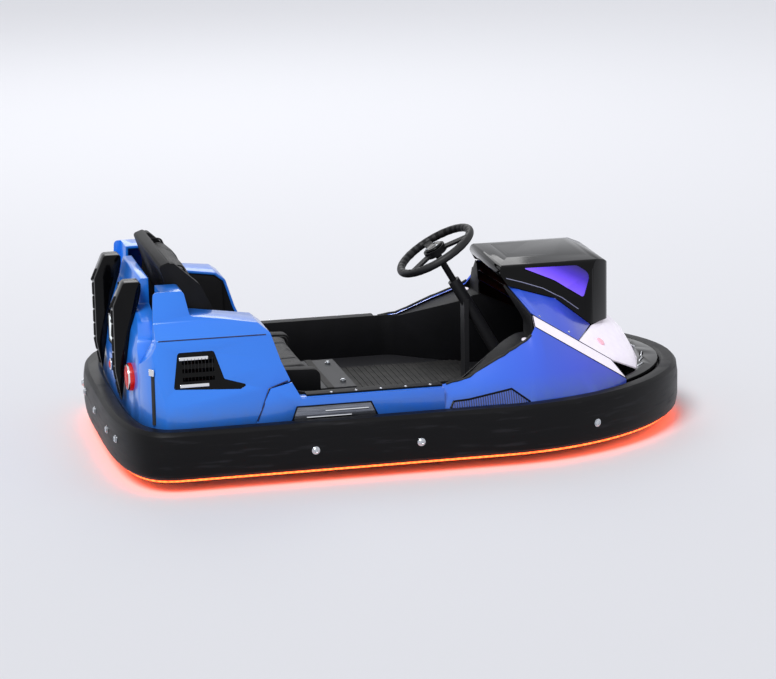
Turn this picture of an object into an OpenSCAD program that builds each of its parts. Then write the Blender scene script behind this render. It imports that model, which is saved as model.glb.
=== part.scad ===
// Electric bumper kart: one seat, a closed rubber bumper ring, four small wheels under the body.
// Origin on the floor under the middle of the ring. +X is forward, +Y is the driver's left, +Z is up.

/* [Overall] */
// Length over the rubber bumper
car_l = 1960; // [1900:10:2100]
// Width over the rubber bumper
car_w = 1190; // [1150:10:1260]
// How far the rounded front end reaches back from the tip
front_depth = 720; // [660:10:760]
// How far the rounded rear end reaches forward from the tail
rear_depth = 212; // [190:2:240]

/* [Bumper] */
// Thickness of the rubber ring
rubber_t = 65; // [55:1:72]
// Height of the ring's underside above the floor
ring_bottom = 45; // [38:1:52]
// Height of the ring's top above the floor
ring_top = 200; // [192:1:206]
// Roundness of the ring's outer edges
ring_round = 15; // [8:1:20]
// Thickness of the light strip under the ring
strip_t = 8; // [5:1:12]
// Width of the light strip under the ring
strip_w = 20; // [12:1:26]

/* [Frame] */
// Thickness of the steel hoop inside the ring
hoop_t = 6; // [4:1:8]
// Height of the frame's underside above the floor
frame_bottom = 60; // [56:1:64]
// Height of the frame's tubes
tube_h = 30; // [26:1:34]
// Width of the frame's tubes
tube_w = 40; // [34:1:44]
// Distance of each long rail from the middle
rail_y = 205; // [200:1:210]
// Height of the floor pan's underside above the frame
pan_rise = 35; // [33:1:38]
// Thickness of the floor pan
pan_t = 4; // [3:1:6]

/* [Body] */
// Wall thickness of the moulded panels
wall = 8; // [6:1:9]
// Height of the side panels' upper edge
sill_top = 264; // [258:1:270]
// Height of the rear pods' shoulder
shoulder_z = 497; // [485:1:510]
// Height of the rear pods' upper blocks
block_z = 606; // [590:1:620]
// Height of the cowl's highest edge
cowl_top = 576; // [568:1:592]
// Height of the rear cover's upper edge
cover_top = 602; // [585:1:615]
// Width of the nose light bars
bar_w = 44; // [36:1:50]

/* [Seat] */
// Width of the seat shell
seat_w = 530; // [500:5:560]
// Length of the seat's inclined back
back_l = 470; // [440:5:480]
// Lean of the seat's back from upright
back_lean = 20; // [17:1:22]
// Thickness of the two cushions
pad_t = 42; // [30:1:50]

/* [Wheels] */
// Outer radius of the four tyres
tyre_r = 110; // [102:1:114]
// Width of the front tyres
front_tyre_w = 70; // [60:1:76]
// Width of the rear tyres
rear_tyre_w = 80; // [66:1:90]
// Radius of the tyres' inner edge
tyre_bore = 64; // [56:1:70]
// Distance of the front axle behind the nose's tip
front_overhang = 510; // [502:1:518]
// Distance of the rear axle ahead of the tail
rear_overhang = 420; // [412:1:428]
// Distance of the front wheels from the middle
front_wheel_y = 385; // [380:1:388]
// Distance of the rear wheels from the middle
rear_wheel_y = 400; // [390:1:410]

/* [Steering] */
// Radius of the steering wheel to the middle of its rim
hand_r = 130; // [120:1:140]
// Radius of the steering wheel's rim tube
hand_tube = 13; // [10:1:16]
// Distance of each kingpin from the middle
kingpin_y = 325; // [322:1:330]
// Length of the steering arms and of the drop arm
arm_l = 60; // [56:1:64]
// Lean of the steering column from level
column_lean = 60; // [58:1:62]

/* [Hidden] */

$fn = 64;
eps = 1;
seam = 0.5;
seat_gap = 0.3;
running = 0.1;

rear_x = -car_l / 2;
nose_x = car_l / 2;
half_w = car_w / 2;
front_axle_x = nose_x - front_overhang;
rear_axle_x = -(rear_x + rear_overhang);

// Planform: two half superellipses with straight sides between them
front_n = 1.92;
rear_n = 3.3;
front_c = nose_x - front_depth;
rear_c = rear_x + rear_depth;
plan_steps = 36;
function bow(v, n) = sign(v) * pow(abs(v), 2 / n);
function half_plan(c, depth, width, n, from) = [for (i = [0:plan_steps])
    let (a = from + 180 * i / plan_steps) [c + depth * bow(cos(a), n), width * bow(sin(a), n)]];
function plan(inset) = concat(
    half_plan(front_c, front_depth - inset, half_w - inset, front_n, -90),
    half_plan(rear_c, rear_depth - inset, half_w - inset, rear_n, 90));
function plan_y(x, inset) = x < front_c ? half_w - inset :
    (half_w - inset) * pow(1 - pow((x - front_c) / (front_depth - inset), front_n), 1 / front_n);

frame_top = frame_bottom + tube_h;
pan_z = frame_top + pan_rise;
hoop_top = ring_top - 18;
hoop_inset = rubber_t + seat_gap;
frame_inset = hoop_inset + hoop_t;
skin = rubber_t + 2;
skin_z = hoop_top + seat_gap;
skin_y = half_w - skin;

// A polygon's corners given as [x, y, radius] and returned with round corners
round_steps = 5;
function unit(v) = v / norm(v);
function corner(p, a, b) =
    let (u = unit([a[0] - p[0], a[1] - p[1]]), w = unit([b[0] - p[0], b[1] - p[1]]), half = acos(u * w) / 2)
    p[2] == 0 ? [[p[0], p[1]]] :
    let (c = [p[0], p[1]] + unit(u + w) * p[2] / sin(half),
        s = [p[0], p[1]] + u * p[2] / tan(half) - c, e = [p[0], p[1]] + w * p[2] / tan(half) - c,
        turn = 180 - 2 * half, way = sign(s[0] * e[1] - s[1] * e[0]))
    [for (i = [0:round_steps]) let (t = way * turn * i / round_steps)
        c + [s[0] * cos(t) - s[1] * sin(t), s[0] * sin(t) + s[1] * cos(t)]];
function rounded(p) = [for (i = [0:len(p) - 1])
    each corner(p[i], p[(i + len(p) - 1) % len(p)], p[(i + 1) % len(p)])];
function flip(p) = [for (i = [len(p) - 1:-1:0]) [p[i][0], -p[i][1], p[i][2]]];
function flip_across(p) = [for (i = [len(p) - 1:-1:0]) [-p[i][0], p[i][1], p[i][2]]];

// Prisms along each axis
module side_prism(y0, y1) {
    translate([0, y1, 0]) rotate([90, 0, 0]) linear_extrude(y1 - y0) children();
}
module end_prism(x0, x1) {
    translate([x0, 0, 0]) rotate([90, 0, 90]) linear_extrude(x1 - x0) children();
}
module up_prism(z0, z1) {
    translate([0, 0, z0]) linear_extrude(z1 - z0) children();
}
module slab(x0, x1, y0, y1, z0, z1) {
    translate([x0, y0, z0]) cube([x1 - x0, y1 - y0, z1 - z0]);
}
module both_sides() {
    children();
    mirror([0, 1, 0]) children();
}

// A closed ring that follows the planform, from a profile of [inset, z] corners
module ring(profile) {
    loops = [for (p = profile) [for (q = plan(p[0])) [q[0], q[1], p[1]]]];
    n = len(loops[0]);
    m = len(profile);
    polyhedron(points = [for (l = loops) each l],
        faces = [for (j = [0:m - 1]) for (i = [0:n - 1])
            let (a = j * n + i, b = j * n + (i + 1) % n, k = (j + 1) % m, c = k * n + (i + 1) % n, d = k * n + i)
            each [[a, c, b], [a, d, c]]]);
}

// A moulded sheet between an outer and an inner grid of points, both rows by columns
module sheet(outer, inner) {
    r = len(outer);
    c = len(outer[0]);
    o = r * c;
    function at(i, j) = i * c + j;
    polyhedron(points = concat([for (l = outer) each l], [for (l = inner) each l]), faces = concat(
        [for (i = [0:r - 2]) for (j = [0:c - 2])
            each [[at(i, j), at(i, j + 1), at(i + 1, j + 1)], [at(i, j), at(i + 1, j + 1), at(i + 1, j)]]],
        [for (i = [0:r - 2]) for (j = [0:c - 2])
            each [[o + at(i, j), o + at(i + 1, j + 1), o + at(i, j + 1)],
                [o + at(i, j), o + at(i + 1, j), o + at(i + 1, j + 1)]]],
        [for (j = [0:c - 2]) each [[at(0, j), o + at(0, j), o + at(0, j + 1)], [at(0, j), o + at(0, j + 1), at(0, j + 1)],
            [at(r - 1, j), at(r - 1, j + 1), o + at(r - 1, j + 1)],
            [at(r - 1, j), o + at(r - 1, j + 1), o + at(r - 1, j)]]],
        [for (i = [0:r - 2]) each [[at(i, 0), at(i + 1, 0), o + at(i + 1, 0)], [at(i, 0), o + at(i + 1, 0), o + at(i, 0)],
            [at(i, c - 1), o + at(i, c - 1), o + at(i + 1, c - 1)],
            [at(i, c - 1), o + at(i + 1, c - 1), at(i + 1, c - 1)]]]));
}
function shifted(grid, v) = [for (l = grid) [for (p = l) p + v]];

// Bumper ring and light strip
module bumper() color([0.05, 0.05, 0.06])
    ring([[ring_round, ring_bottom], [4, ring_bottom + ring_round - 3], [0, ring_bottom + 40],
        [0, ring_top - 40], [4, ring_top - ring_round + 3], [ring_round, ring_top],
        [rubber_t - 15, ring_top], [rubber_t - 4, ring_top - 7], [rubber_t, hoop_top],
        [rubber_t, ring_bottom + 8], [rubber_t - 8, ring_bottom]]);

strip_inset = 24;
module underglow_strip() color([1, 0.25, 0.1])
    up_prism(ring_bottom - strip_t, ring_bottom) difference() {
        polygon(plan(strip_inset));
        polygon(plan(strip_inset + strip_w));
    }

// Welded frame: a hoop inside the ring, two long rails, and cross tubes cut to fit between them
cross_x = [rear_x + 250, rear_x + 560, rear_x + 850, nose_x - 680, nose_x - 330];
tie_down_y = 90;
tie_down_r = 8;
weld = 0.3;
module frame_hoop() color([0.12, 0.12, 0.13]) up_prism(frame_bottom, hoop_top) difference() {
    polygon(plan(hoop_inset));
    polygon(plan(frame_inset));
}
module chassis_frame() color([0.12, 0.12, 0.13]) up_prism(frame_bottom, frame_top) difference() {
    intersection() {
        polygon(plan(frame_inset + weld));
        union() {
            for (s = [-1, 1]) translate([0, s * rail_y]) square([car_l, tube_w], center = true);
            for (x = cross_x) translate([x, 0]) difference() {
                square([tube_w, car_w], center = true);
                for (s = [-1, 1]) translate([0, s * rail_y])
                    square([tube_w + eps, tube_w + 2 * weld], center = true);
            }
        }
    }
    for (s = [-1, 1]) translate([cross_x[4], s * tie_down_y]) circle(r = tie_down_r);
}

// Cockpit planform: seat bay, wide sides over the sills, narrow foot well between the front wheels
seat_bay_y = seat_w / 2 + 35;
cockpit_y = skin_y - 58;
foot_y = 284;
foot_x = nose_x - 340;
neck_x = nose_x - 870;
foot_neck_x = nose_x - 650;
bay_x = rear_x + 580;
cockpit_half = [[rear_x + 215, seat_bay_y, 0], [bay_x - 70, seat_bay_y, 40], [bay_x, cockpit_y, 60],
    [neck_x, cockpit_y, 90], [foot_neck_x, foot_y, 90], [foot_x, foot_y, 30]];
cockpit_plan = rounded(concat(cockpit_half, flip(cockpit_half)));

// Floor pan on hat ribs, with the slot that the drop arm swings in
pan_front = foot_x + 4;
pan_rear = bay_x + 2;
module floor_pan() color([0.16, 0.16, 0.17]) difference() {
    union() {
        up_prism(pan_z, pan_z + pan_t) intersection() {
            polygon(cockpit_plan);
            translate([pan_rear, -half_w]) square([pan_front - pan_rear, car_w]);
        }
        for (x = [cross_x[2], cross_x[3], foot_x - 15])
            slab(x - 15, x + 15, -foot_y + 15, foot_y - 15, frame_top + weld, pan_z + eps);
    }
    slab(drop_x - 30, front_axle_x - 16, -arm_l - 20, arm_l + 20, frame_top - eps, pan_z + pan_t + eps);
    slab(pan_rear - eps, cross_x[2] - tube_w / 2, -battery_y - seam, battery_y + seam, pan_z - eps, pan_z + pan_t + eps);
}

// Battery box between the rails
battery_top = 200;
battery_y = rail_y - tube_w / 2 - seat_gap;
module battery() color([0.2, 0.2, 0.22])
    slab(cross_x[1] + tube_w / 2 + seat_gap, cross_x[2] - tube_w / 2 - seat_gap,
        -battery_y, battery_y, frame_bottom + 2, battery_top);

// Rear axle: gear case, axle tubes on the rails, output shafts and the drive motor
shaft_r = 12;
axle_tube_r = tyre_r - frame_top - weld;
case_y = 60;
motor_r = 50;
motor_z = frame_top + motor_r + 3;
rear_hub_in = rear_wheel_y - rear_tyre_w / 2 - 6;
module transaxle() color([0.35, 0.36, 0.38]) {
    translate([-rear_axle_x, 0, tyre_r]) rotate([90, 0, 0]) {
        cylinder(r = axle_tube_r, h = 2 * rear_hub_in - 20, center = true);
        cylinder(r = shaft_r, h = 2 * (rear_wheel_y + rear_tyre_w / 2), center = true);
        cylinder(r = 78 - frame_bottom / 3, h = 2 * case_y, center = true);
        for (s = [-1, 1]) translate([0, 0, s * (rear_wheel_y + rim_half + 6)])
            cylinder(r = 18, h = 10, center = true);
    }
    for (s = [-1, 1]) slab(-rear_axle_x - 30, -rear_axle_x + 30, s * rail_y - 18, s * rail_y + 18,
        frame_top + seat_gap, tyre_r);
    translate([-rear_axle_x - 40, 0, motor_z]) rotate([0, -90, 0]) cylinder(r = motor_r * 0.6, h = 40);
    translate([-rear_axle_x - 70, 0, motor_z]) rotate([0, -90, 0]) cylinder(r = motor_r, h = 170);
}

// Front axle beam with a yoke and a kingpin at each end
pin_r = 9;
barrel_h = 50;
yoke_t = 10;
module front_axle() color([0.2, 0.2, 0.22]) {
    slab(front_axle_x - 24, front_axle_x + 24, -kingpin_y + 34, kingpin_y - 34, frame_top, frame_top + 30);
    both_sides() {
        for (z = [tyre_r - barrel_h / 2 - yoke_t - seam, tyre_r + barrel_h / 2 + seam])
            slab(front_axle_x - 20, front_axle_x + 20, kingpin_y - 40, kingpin_y + 14, z, z + yoke_t);
        slab(front_axle_x - 20, front_axle_x + 20, kingpin_y - 40, kingpin_y - 26,
            tyre_r - barrel_h / 2 - yoke_t - seam, tyre_r + barrel_h / 2 + yoke_t + seam);
        translate([front_axle_x, kingpin_y, tyre_r])
            cylinder(r = pin_r, h = barrel_h + 2 * yoke_t + 8, center = true);
    }
}

// Steering knuckle: barrel on the kingpin, stub shaft with its nut, arm to the rear with a ball stud
stub_r = 10;
stud_r = 5;
rod_z = 106;
rim_half = 26;
rod_eye_h = 8;
module knuckle() color([0.4, 0.41, 0.43]) {
    stud_x = front_axle_x - arm_l;
    difference() {
        union() {
            translate([front_axle_x, kingpin_y, tyre_r]) cylinder(r = 18, h = barrel_h, center = true);
            translate([front_axle_x, kingpin_y + 12, tyre_r]) rotate([-90, 0, 0]) cylinder(r = 14, h = 14);
            hull() {
                translate([front_axle_x, kingpin_y, rod_z - 17]) cylinder(r = 15, h = 9);
                translate([stud_x, kingpin_y, rod_z - 17]) cylinder(r = 10, h = 9);
            }
        }
        translate([front_axle_x, kingpin_y, tyre_r])
            cylinder(r = pin_r + running, h = barrel_h * 2, center = true);
    }
    translate([front_axle_x, kingpin_y + 16, tyre_r]) rotate([-90, 0, 0])
        cylinder(r = stub_r, h = front_wheel_y + rim_half + 14 - kingpin_y - 16);
    translate([front_axle_x, front_wheel_y + rim_half + 1, tyre_r]) rotate([-90, 0, 0])
        cylinder(r = 16, h = 9);
    translate([stud_x, kingpin_y, rod_z - 10]) cylinder(r = stud_r, h = 18);
}
module knuckle_left() knuckle();
module knuckle_right() mirror([0, 1, 0]) knuckle();

// Steering column line, from the hand wheel's centre down to the drop arm
hand_x = nose_x - 815;
hand_z = 590;
column_run = (hand_z - rod_z - arm_l * cos(column_lean)) / sin(column_lean);
drop_x = hand_x + column_run * cos(column_lean) - arm_l * sin(column_lean);
stud_drop = 20;
drop_run = column_run - stud_drop * sin(column_lean);
drop_l = arm_l - stud_drop * cos(column_lean);
module on_column() translate([hand_x, 0, hand_z]) rotate([0, 90 + column_lean, 0]) children();

// Tie rod: small eye on the knuckle's stud, wide eye round the drop arm's stud, a bar between them
rod_r = 6;
eye_slack = 3;
eye_step = 4.5;
module tie_rod(step) color([0.6, 0.61, 0.63]) {
    a = [front_axle_x - arm_l, kingpin_y, rod_z];
    b = [drop_x, 0, rod_z + step];
    run = b - a;
    flat = norm([run[0], run[1]]);
    heading = atan2(run[1], run[0]);
    difference() {
        union() {
            translate(a) cylinder(r = 11, h = rod_eye_h, center = true);
            translate(b) cylinder(r = stud_r + eye_slack + 5, h = rod_eye_h - 1, center = true);
            translate(a) rotate([0, 0, heading]) rotate([0, 90 - atan2(run[2], flat), 0])
                translate([0, 0, 8]) cylinder(r = rod_r / 2 + 0.5, h = norm(run) - 18);
            translate(a) rotate([0, 0, heading]) rotate([0, 90 - atan2(run[2], flat), 0])
                translate([0, 0, 30]) cylinder(r = rod_r, h = norm(run) - 64);
        }
        translate(a) cylinder(r = stud_r + running, h = 40, center = true);
        translate(b) cylinder(r = stud_r + eye_slack, h = 40, center = true);
    }
}
module tie_rod_left() tie_rod(eye_step);
module tie_rod_right() mirror([0, 1, 0]) tie_rod(-eye_step);

// Steering wheel with its shaft and drop arm, all one piece that turns in the column
shaft_col_r = 11;
module steering_wheel() color([0.06, 0.06, 0.07]) on_column() {
    rotate_extrude() translate([hand_r, 0]) circle(r = hand_tube, $fn = 32);
    cylinder(r = 38, h = 22, center = true);
    for (a = [90, 210, 330]) rotate([0, 0, a]) translate([30, -14, -4]) cube([hand_r - 30 - 4, 28, 8]);
    cylinder(r = shaft_col_r, h = drop_run + 6);
    translate([0, 0, drop_run - 6]) hull() {
        cylinder(r = 18, h = 11);
        translate([drop_l, 0, 0]) cylinder(r = 11, h = 11);
    }
    translate([drop_l, 0, drop_run]) rotate([0, -90 - column_lean, 0])
        translate([0, 0, -stud_drop - 10]) cylinder(r = stud_r, h = stud_drop + 10);
}

// Fixed column jacket with its post and foot on the floor pan
jacket_from = 120;
jacket_to = 420;
post_x = hand_x + 97;
module steering_column() color([0.12, 0.12, 0.13]) {
    post_top = hand_z - (post_x - hand_x) * tan(column_lean);
    difference() {
        union() {
            on_column() translate([0, 0, jacket_from]) cylinder(r = shaft_col_r + 9, h = jacket_to - jacket_from);
            slab(post_x - 8, post_x + 8, -26, 26, pan_z + pan_t + 4, post_top);
            slab(post_x - 30, post_x + 30, -50, 50, pan_z + pan_t, pan_z + pan_t + 6);
        }
        on_column() cylinder(r = shaft_col_r + running, h = 2 * column_run);
    }
}

// Tyres and rims: revolved about the axle, drawn as [radius, width] profiles
module wheel_at(x, y) translate([x, y, tyre_r]) rotate([90, 0, 0]) children();
module tyre(w) color([0.07, 0.07, 0.07]) rotate_extrude() polygon(rounded([
    [tyre_bore + seat_gap, -w / 2 + 10, 0], [tyre_bore + 14, -w / 2, 6], [tyre_r - 8, -w / 2, 14],
    [tyre_r, -w / 2 + 14, 10], [tyre_r, w / 2 - 14, 10], [tyre_r - 8, w / 2, 14],
    [tyre_bore + 14, w / 2, 6], [tyre_bore + seat_gap, w / 2 - 10, 0]]));
module rim(w, bore) color([0.7, 0.71, 0.73]) rotate_extrude() polygon([
    [bore, -rim_half], [bore + 18, -rim_half], [bore + 20, -7], [tyre_bore - 7, -5], [tyre_bore - 8, -w / 2 + 6],
    [tyre_bore + 6, -w / 2 + 1], [tyre_bore + 6, -w / 2 + 4], [tyre_bore, -w / 2 + 8.5],
    [tyre_bore, w / 2 - 8.5], [tyre_bore + 6, w / 2 - 4], [tyre_bore + 6, w / 2 - 1], [tyre_bore - 8, w / 2 - 6],
    [tyre_bore - 7, 5], [bore + 20, 7], [bore + 18, rim_half], [bore, rim_half]]);
module tyre_front_left() wheel_at(front_axle_x, front_wheel_y) tyre(front_tyre_w);
module tyre_front_right() wheel_at(front_axle_x, -front_wheel_y) tyre(front_tyre_w);
module tyre_rear_left() wheel_at(-rear_axle_x, rear_wheel_y) tyre(rear_tyre_w);
module tyre_rear_right() wheel_at(-rear_axle_x, -rear_wheel_y) tyre(rear_tyre_w);
module rim_front_left() wheel_at(front_axle_x, front_wheel_y) rim(front_tyre_w, stub_r + running);
module rim_front_right() wheel_at(front_axle_x, -front_wheel_y) rim(front_tyre_w, stub_r + running);
module rim_rear_left() wheel_at(-rear_axle_x, rear_wheel_y) rim(rear_tyre_w, shaft_r + running);
module rim_rear_right() wheel_at(-rear_axle_x, -rear_wheel_y) rim(rear_tyre_w, shaft_r + running);

// Rear pods: a leaning side face under a shoulder, with an upper block beside the head rest
body_blue = [0.12, 0.42, 0.93];
cover_half = 402;
cover_front = rear_x + 162;
pod_front = rear_x + 550;
pod_heel = pod_front - 68;
seam_low = rear_x + 424;
pod_nose_z = 318;
pod_side = rounded([[rear_x + 60, skin_z, 0], [rear_x + 88, 380, 20], [rear_x + 132, 450, 20],
    [rear_x + 139, block_z, 14], [rear_x + 235, block_z, 14], [rear_x + 252, shoulder_z + 30, 10],
    [pod_front - 88, shoulder_z, 10], [pod_front - 56, shoulder_z - 26, 12], [pod_front - 27, pod_nose_z + 61, 0],
    [pod_front, pod_nose_z, 6], [pod_heel, pod_nose_z - 16, 8], [seam_low, skin_z, 0]]);
pod_end = rounded([[seat_bay_y + seam, skin_z - 60, 0], [skin_y + 20, skin_z - 60, 0], [skin_y + 4, 215, 0],
    [skin_y - 50, 468, 8], [skin_y - 108, shoulder_z + 14, 12], [skin_y - 124, block_z + 20, 0],
    [seat_bay_y + seam, block_z + 20, 0]]);
module pod_block(off, low) intersection() {
    side_prism(0, half_w) offset(delta = -off) polygon(pod_side);
    end_prism(rear_x, 0) offset(delta = -off) polygon(pod_end);
    up_prism(low, block_z + 40) difference() {
        polygon(plan(skin + off));
        translate([rear_x - eps, -half_w])
            square([cover_front + off - rear_x + eps, half_w + cover_half + seam + off]);
    }
}
vent_x = rear_x + 180;
vent_low = 306;
vent_outline = rounded([[vent_x, vent_low + 12, 6], [vent_x + 18, vent_low + 122, 10], [vent_x + 132, vent_low + 122, 10],
    [vent_x + 160, vent_low + 34, 8], [vent_x + 232, vent_low + 12, 4], [vent_x + 210, vent_low, 4]]);
arch_r = tyre_r + 12;
arch_y = rear_wheel_y + rear_tyre_w / 2 + 12;
module pod() color(body_blue) difference() {
    pod_block(0, skin_z);
    pod_hollow();
    side_prism(skin_y - 150, half_w) offset(delta = seam) polygon(vent_outline);
    translate([-rear_axle_x, arch_y, tyre_r]) rotate([90, 0, 0]) cylinder(r = arch_r, h = arch_y - foot_y);
}
module pod_hollow() {
    pod_block(wall, skin_z - 40);
    intersection() {
        translate([0, -wall - 2, 0]) pod_block(wall, skin_z - 40);
        slab(rear_x, 0, 0, half_w, 0, block_z);
    }
    translate([0, 0, -wall * 2]) pod_block(wall, skin_z - 60);
}
module rear_pod_left() pod();
module rear_pod_right() mirror([0, 1, 0]) pod();

// Side vents: a framed insert in each pod with two bars
module side_vents() color([0.03, 0.03, 0.04]) both_sides() intersection() {
    difference() {
        pod_block(0, skin_z);
        pod_block(wall, skin_z - 40);
    }
    side_prism(skin_y - 150, half_w) difference() {
        polygon(vent_outline);
        for (z = [vent_low + 34:26:vent_low + 94]) translate([vent_x + 30, z]) square([100, 12]);
    }
}

// Side panels: the low sills between the pods and the fenders
sill_front = nose_x - 920;
kick = [rear_x + 540, rear_x + 832];
sill_end = rounded([[skin_y, skin_z, 0], [skin_y - 2, sill_top - 22, 8], [skin_y - 16, sill_top, 8],
    [cockpit_y + 8, sill_top, 0], [cockpit_y + 8, sill_top - wall, 0], [skin_y - 20, sill_top - wall, 4],
    [skin_y - wall - 2, sill_top - 28, 4], [skin_y - wall, skin_z, 0]]);
sill_side = [[seam_low + seam, skin_z], [pod_heel + seam, pod_nose_z - 16 - seam], [pod_front, pod_nose_z - seam],
    [pod_front + 30, sill_top], [sill_front, sill_top], [sill_front, skin_z]];
module side_panels() color(body_blue) both_sides() difference() {
    union() {
        end_prism(pod_front + 30, sill_front) polygon(sill_end);
        side_prism(skin_y - wall, skin_y - 2) polygon(sill_side);
    }
    kick_cut(seam);
}
module kick_cut(gap) side_prism(skin_y - wall - 4, half_w)
    offset(delta = gap) polygon([[kick[0], skin_z - 10], [kick[0] + 24, sill_top - 26],
        [kick[1] - 30, sill_top - 26], [kick[1], skin_z - 10]]);
module kick_plates() color([0.45, 0.46, 0.5]) both_sides() intersection() {
    side_prism(skin_y - wall, skin_y) polygon(sill_side);
    kick_cut(0);
    up_prism(skin_z, sill_top) square(2 * car_l, center = true);
}

// Nose lines: the light bar runs down from the cockpit's corner to the ring
bar_top = [nose_x - 589, 405, 410];
bar_tip = [nose_x - 274, 374, ring_top + 8];
bar_up = [0, -0.676, 0.736];
skin_in = [0, -wall * 0.7, -wall * 0.7];
function along(a, b, t) = a + (b - a) * t;
function bar_line(t) = along(bar_top, bar_tip, t);

// Front fenders: ruled between the ring and the body's upper edge, which then follows the light bar
fender_line = [[sill_front + seam, cockpit_y + 14, sill_top], [sill_front + 80, cockpit_y + 8, 276],
    [sill_front + 195, cockpit_y - 18, 328], [sill_front + 310, cockpit_y - 52, 378], bar_top];
fender_rear = [for (d = [0, 15, 30, 60, 80, 110, 140, 170, 195, 225, 255, 282, 310]) fender_line[0][0] + d];
fender_front = [for (i = [0:12]) bar_line(i / 12)[0]];
fender_x = concat(fender_rear, fender_front);
function on_line(line, x) = let (i = max([for (k = [0:len(line) - 2]) line[k][0] <= x ? k : 0]))
    along(line[i], line[i + 1], (x - line[i][0]) / (line[i + 1][0] - line[i][0]));
function body_edge(x) = x < bar_top[0] ? on_line(fender_line, x) : bar_line((x - bar_top[0]) / (bar_tip[0] - bar_top[0]));
function fender_head(x) = body_edge(x) - [0, 0, seam];
function fender_foot(x) = [x, plan_y(x, skin), skin_z];
function fender_crease(x) = along(fender_foot(x), fender_head(x), 0.55)
    + [0, 9, 7] * (bar_tip[0] - x) / (bar_tip[0] - sill_front);
fender_grid = [[for (x = fender_x) fender_head(x)], [for (x = fender_x) fender_crease(x)],
    [for (x = fender_x) fender_foot(x)]];
fender_in = [skin_in, [0, -wall * 0.9, -wall * 0.4], [0, -wall, 0]];
module fender_skin() sheet(fender_grid, [for (i = [0:2]) [for (p = fender_grid[i]) p + fender_in[i]]]);

// Side markers: dark lenses in the fenders' lower rear corner, as [column of fender_x, low share, high share]
marker_table = [[1, 0.06, 0.1], [2, 0.06, 0.6], [4, 0.06, 0.6], [6, 0.06, 0.6], [8, 0.06, 0.6], [9, 0.06, 0.6],
    [11, 0.06, 0.12]];
marker_grid = [for (share = [2, 1]) [for (m = marker_table) let (x = fender_x[m[0]])
    along(fender_foot(x), fender_crease(x), m[share])]];
module marker_cut() side_prism(skin_y - 60, half_w) offset(delta = seam) polygon(concat(
    [for (p = marker_grid[0]) [p[0], p[2]]],
    [for (i = [len(marker_table) - 1:-1:0]) [marker_grid[1][i][0], marker_grid[1][i][2]]]));
module front_fender() color(body_blue) difference() {
    fender_skin();
    marker_cut();
}
module front_fender_left() front_fender();
module front_fender_right() mirror([0, 1, 0]) front_fender();
module side_markers() color([0.1, 0.2, 0.7]) both_sides()
    sheet(marker_grid, shifted(marker_grid, [0, -wall, 0]));

// Light bars
bar_end = 0.86;
bar_low = [for (t = [0, 0.5, bar_end, 1]) bar_line(t)];
bar_high = [for (t = [0, 0.5, bar_end]) bar_line(t) + bar_up * bar_w];
module light_bars() color([1, 1, 1]) both_sides() sheet(
    [concat(bar_high, [bar_tip + bar_up * 2]), bar_low],
    shifted([concat(bar_high, [bar_tip + bar_up * 2]), bar_low], skin_in));

// Cowl: a tapering black binnacle over the foot well, its side faces leaning in to a crowned top
cowl_rear = nose_x - 642;
cowl_front = nose_x - 230;
cowl_base = cowl_top - 276;
cowl_low = [[cowl_rear + 14, cowl_top - 70], [cowl_rear + 167, cowl_top - 115],
    [cowl_rear + 299, cowl_top - 221]];
cowl_side = rounded([with_r(cowl_low[0], 4), [cowl_rear - 20, cowl_top - 14, 24],
    [cowl_rear + 50, cowl_top + 2, 80], [cowl_front - 110, cowl_top - 2, 60],
    [cowl_front - 46, cowl_top - 22, 40], [cowl_front - 8, cowl_top - 60, 40], [cowl_front, cowl_top - 100, 30],
    [cowl_front - 4, cowl_top - 226, 6], with_r(cowl_low[2], 0), with_r(cowl_low[1], 120)]);
cowl_plan_half = [[cowl_rear - 40, 284, 0], [cowl_low[2][0], 208, 60], [cowl_front - 36, 130, 60]];
cowl_plan = rounded(concat(cowl_plan_half, [[cowl_front + 2, 0, 0]], flip(cowl_plan_half)));
cowl_shoulder = [186, cowl_top - 12];
cowl_flank = [262, cowl_top - 146];
cowl_end = rounded([[0, cowl_base, 0], [cowl_flank[0] + 14, cowl_base, 0], [cowl_flank[0], cowl_flank[1], 60],
    [cowl_shoulder[0], cowl_shoulder[1], 24], [110, cowl_top, 60], [0, cowl_top + 4, 0]]);
module cowl_block(off) intersection() {
    side_prism(-half_w, half_w) offset(delta = -off) polygon(cowl_side);
    up_prism(cowl_base, cowl_top + 50) offset(delta = -off) polygon(cowl_plan);
    both_sides() end_prism(0, nose_x) intersection() {
        offset(delta = -off) polygon(concat(cowl_end, [[-200, cowl_top + 12], [-200, cowl_base]]));
        translate([-eps, 0]) square(cowl_top * 2);
    }
}
cowl_t = wall * 0.8;
window_outline = rounded([[cowl_rear + 66, cowl_top - 20, 3], [cowl_rear + 256, cowl_top - 22, 26],
    [cowl_rear + 298, cowl_top - 50, 30], [cowl_rear + 272, cowl_top - 130, 8],
    [cowl_rear + 172, cowl_top - 64, 160]]);
module cowl() color([0.04, 0.04, 0.05]) difference() {
    cowl_block(0);
    for (drop = [0, 14, 28]) translate([0, 0, -drop]) cowl_block(cowl_t);
    both_sides() side_prism(180, half_w) offset(delta = seam) polygon(window_outline);
}
module cowl_windows() color([0.35, 0.15, 0.95]) both_sides() intersection() {
    difference() {
        cowl_block(0);
        cowl_block(cowl_t);
    }
    side_prism(180, half_w) polygon(window_outline);
}

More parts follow.
